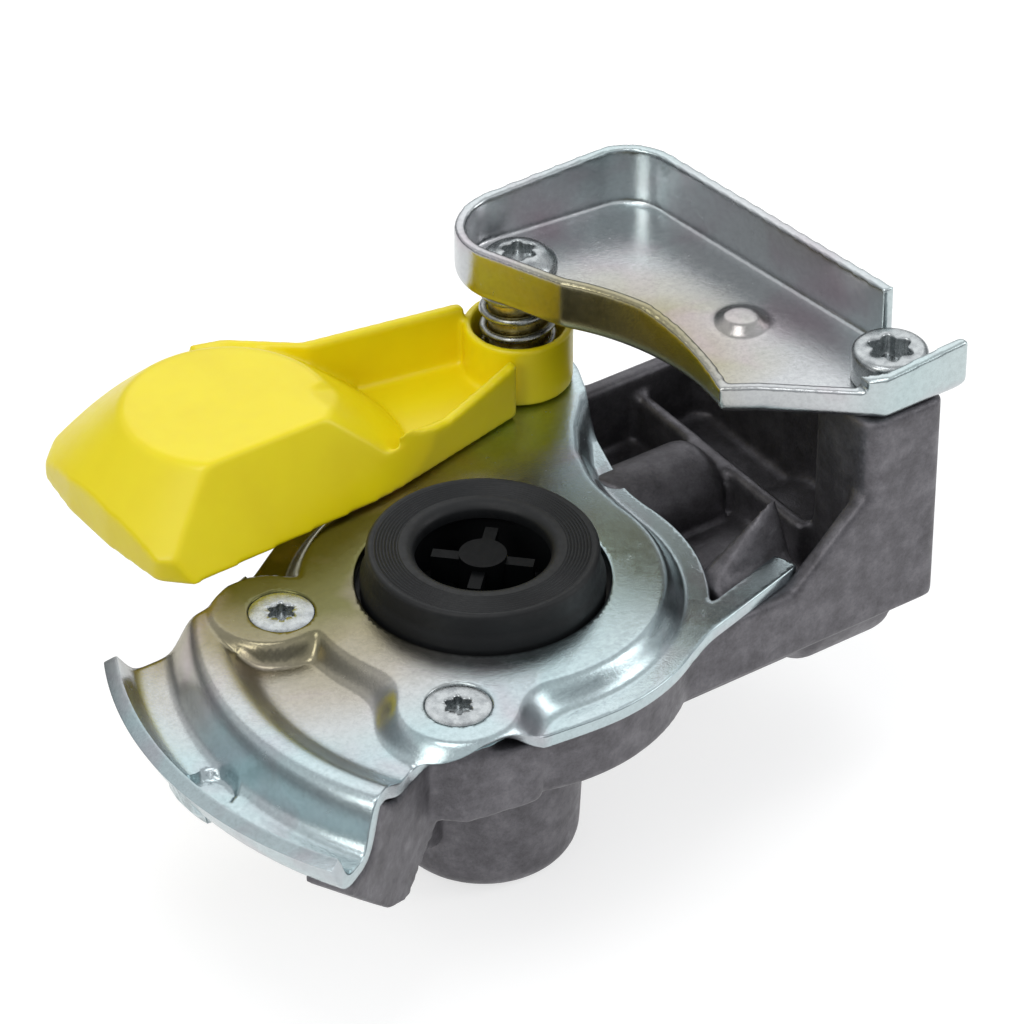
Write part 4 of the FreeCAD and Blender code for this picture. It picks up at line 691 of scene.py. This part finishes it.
def softCopy(name, copy):
    # the solid's form with the soft edges and small fillets that casting, drawing or moulding leaves
    piece = bpy.data.objects.new(name, frame["nodes"][copy["node"]].data.copy())
    scene.collection.objects.link(piece)
    remesh = piece.modifiers.new("remesh", "REMESH")
    remesh.mode = "VOXEL"
    remesh.voxel_size = copy["voxel"] * mm
    smooth = piece.modifiers.new("smooth", "SMOOTH")
    smooth.factor = 0.5
    smooth.iterations = copy["passes"]
    applyModifiers(piece)
    finishPiece(piece, copy["body"], copy["slot"], copy["node"])
    print(name, len(piece.data.polygons), "faces")


for name, copy in softCopies.items():
    softCopy(name, copy)
print("casting, tray and cap ready")


# Seal, as radius and height in millimetres

seal = {
    "lip": [(11.4, -2.8), (11.4, -1.3), (11.65, -0.8), (12.1, -0.35), (12.7, -0.06), (13.2, 0.0)],
    "grooves": {"from": 14.0, "to": 18.4, "pitch": 0.55,
                "section": [(0.0, 0.0), (0.28, -0.16), (0.5, -0.2), (0.72, -0.16)]},
    "shoulder": [(18.6, 0.0), (19.1, -0.12), (19.4, -0.45), (19.5, -0.9)],
    "side": [(19.65, -3.5), (19.9, -4.6), (20.5, -6.0)],
    "flange": [(20.5, -9.2), (24.0, -9.2), (24.0, -13.0)],
    "throat": [(14.0, -13.0), (14.0, -5.0), (13.2, -4.2)],
    "segments": 160,
}


def makeSeal():
    profile = list(seal["lip"])
    grooves = seal["grooves"]
    radius = grooves["from"]
    while radius < grooves["to"]:
        profile += [(radius + grooves["pitch"] * share, depth) for share, depth in grooves["section"]]
        radius += grooves["pitch"]
    profile += seal["shoulder"] + seal["side"] + seal["flange"] + seal["throat"]
    lathe("sealingRing", profile, (0, 0), seal["segments"], "black_rubber", "sealing_ring")


makeSeal()
print("seal ready")


# Fasteners; a head is listed as radius, depth under the top, and share of the socket's lobes

clawScrew = {
    "top": claw["top"], "length": 16.0, "shank": 3.0, "tip": 2.4, "chamfer": 0.6, "segments": 96,
    "socket": 2.35, "socketDepth": 2.0,
    "head": [(3.1, 0, 0.3), (3.6, 0), (4.5, 0.03), (5.15, 0.1), (5.42, 0.2), (5.5, 0.4), (3.0, 2.9)],
}
guideBolt = {
    "at": (69.5, -19.0),
    "top": 23.0, "length": 32.0, "shank": 4.0, "tip": 3.2, "chamfer": 0.8, "segments": 120,
    "socket": 3.9, "socketDepth": 3.8,
    "head": [(4.8, 0, 0.1), (5.4, 0), (6.0, 0.15), (6.35, 0.5), (6.5, 1.1), (6.5, 5.7), (6.3, 6.0),
             (4.0, 6.0)],
}
pivotScrew = {
    "at": claw["pivot"],
    "top": 20.2, "length": 37.2, "shank": 4.0, "tip": 3.2, "chamfer": 0.8, "segments": 120,
    "socket": 3.1, "socketDepth": 2.0,
    "head": [(3.7, 0.03, 0.1), (4.4, 0.25), (5.2, 0.65), (6.0, 1.25), (6.5, 1.75), (6.8, 2.3), (6.8, 3.0),
             (6.6, 3.2), (4.0, 3.2)],
}
socketLobes = {"lobes": 6, "lobeDepth": 0.13}


def socketProfile(radius, depth, top):
    # the recess from its middle up to its chamfered mouth
    floor = top - depth
    return [(0, floor - 0.2), (radius * 0.55, floor - 0.05, 0.6), (radius * 0.95, floor, 1.0),
            (radius * 0.985, floor + 0.15, 1.0), (radius, top - 0.3, 1.0), (radius * 1.03, top - 0.12, 1.0),
            (radius * 1.10, top, 0.9)]


def makeScrew(name, screw, at, replaced):
    top = screw["top"]
    low = top - screw["length"]
    profile = socketProfile(screw["socket"], screw["socketDepth"], top)
    profile += [(entry[0], top - entry[1], *entry[2:]) for entry in screw["head"]]
    profile += [(screw["shank"], low + screw["chamfer"]), (screw["tip"], low), (0, low)]
    lathe(name, profile[::-1], at, screw["segments"], "zinc_steel", replaced, **socketLobes)


makeScrew("clawScrewLeft", clawScrew, claw["screws"][0], "claw_screw_left")
makeScrew("clawScrewRight", clawScrew, claw["screws"][1], "claw_screw_right")
makeScrew("guideBolt", guideBolt, guideBolt["at"], "guide_bolt")
makeScrew("pivotScrew", pivotScrew, pivotScrew["at"], "pivot_screw")
print("fasteners ready")


# Springs, in millimetres; the fixed end is the one that stays when the joint moves

capSpring = {"wire": 1.4, "middle": 6.15, "turns": 5.5, "low": -2.9, "high": 15.0, "at": claw["pivot"],
             "joint": "cap_lift", "travel": 6.6, "fixedEnd": 15.0}
valveSpring = {"wire": 1.6, "middle": 8.6, "turns": 5.0, "low": -56.0, "high": -31.32, "at": (0.0, 0.0),
               "joint": "valve_press", "travel": 3.5, "fixedEnd": -56.0}
coilMesh = {"perTurn": 56, "around": 14, "closed": 0.85, "pitch": 1.02}    # closed turns, pitch in wires


def coil(name, spring, replaced):
    # a compression spring with closed ends
    wire, turns, low, high = spring["wire"], spring["turns"], spring["low"], spring["high"]
    steps, around = int(turns * coilMesh["perTurn"]), coilMesh["around"]
    closedPitch = wire * coilMesh["pitch"]
    closedShare = coilMesh["closed"] / turns
    span = 1 - 2 * closedShare
    free = (high - low - wire) - closedPitch * 2 * closedShare * turns
    points = []
    for i in range(steps + 1):
        share = i / steps
        over = max(0.0, share - 1 + closedShare)
        run = max(0.0, share - closedShare) - over
        rise = closedPitch * (min(share, closedShare) + over) * turns
        height = low + wire / 2 + rise + free * (run / span)
        angle = 2 * math.pi * turns * share
        radial = np.array([math.cos(angle), math.sin(angle), 0.0])
        centre = np.array([*spring["at"], height]) + radial * spring["middle"]
        for k in range(around):
            turn = 2 * math.pi * k / around
            point = centre + radial * (wire / 2 * math.cos(turn))
            point[2] += wire / 2 * math.sin(turn)
            points.append(point)
    faces = []
    for i in range(steps):
        for k in range(around):
            n = (k + 1) % around
            a, b = i * around, (i + 1) * around
            faces.append((a + k, b + k, b + n, a + n))
    faces.append(tuple(range(around)))
    faces.append(tuple(range(len(points) - 1, len(points) - around - 1, -1)))
    piece = addPiece(name, points, faces, "coupling", "spring_steel", replaced, 50)
    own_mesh(piece)


coil("capSpring", capSpring, "cap_spring")
coil("valveSpring", valveSpring, "valve_spring")
print("springs ready")
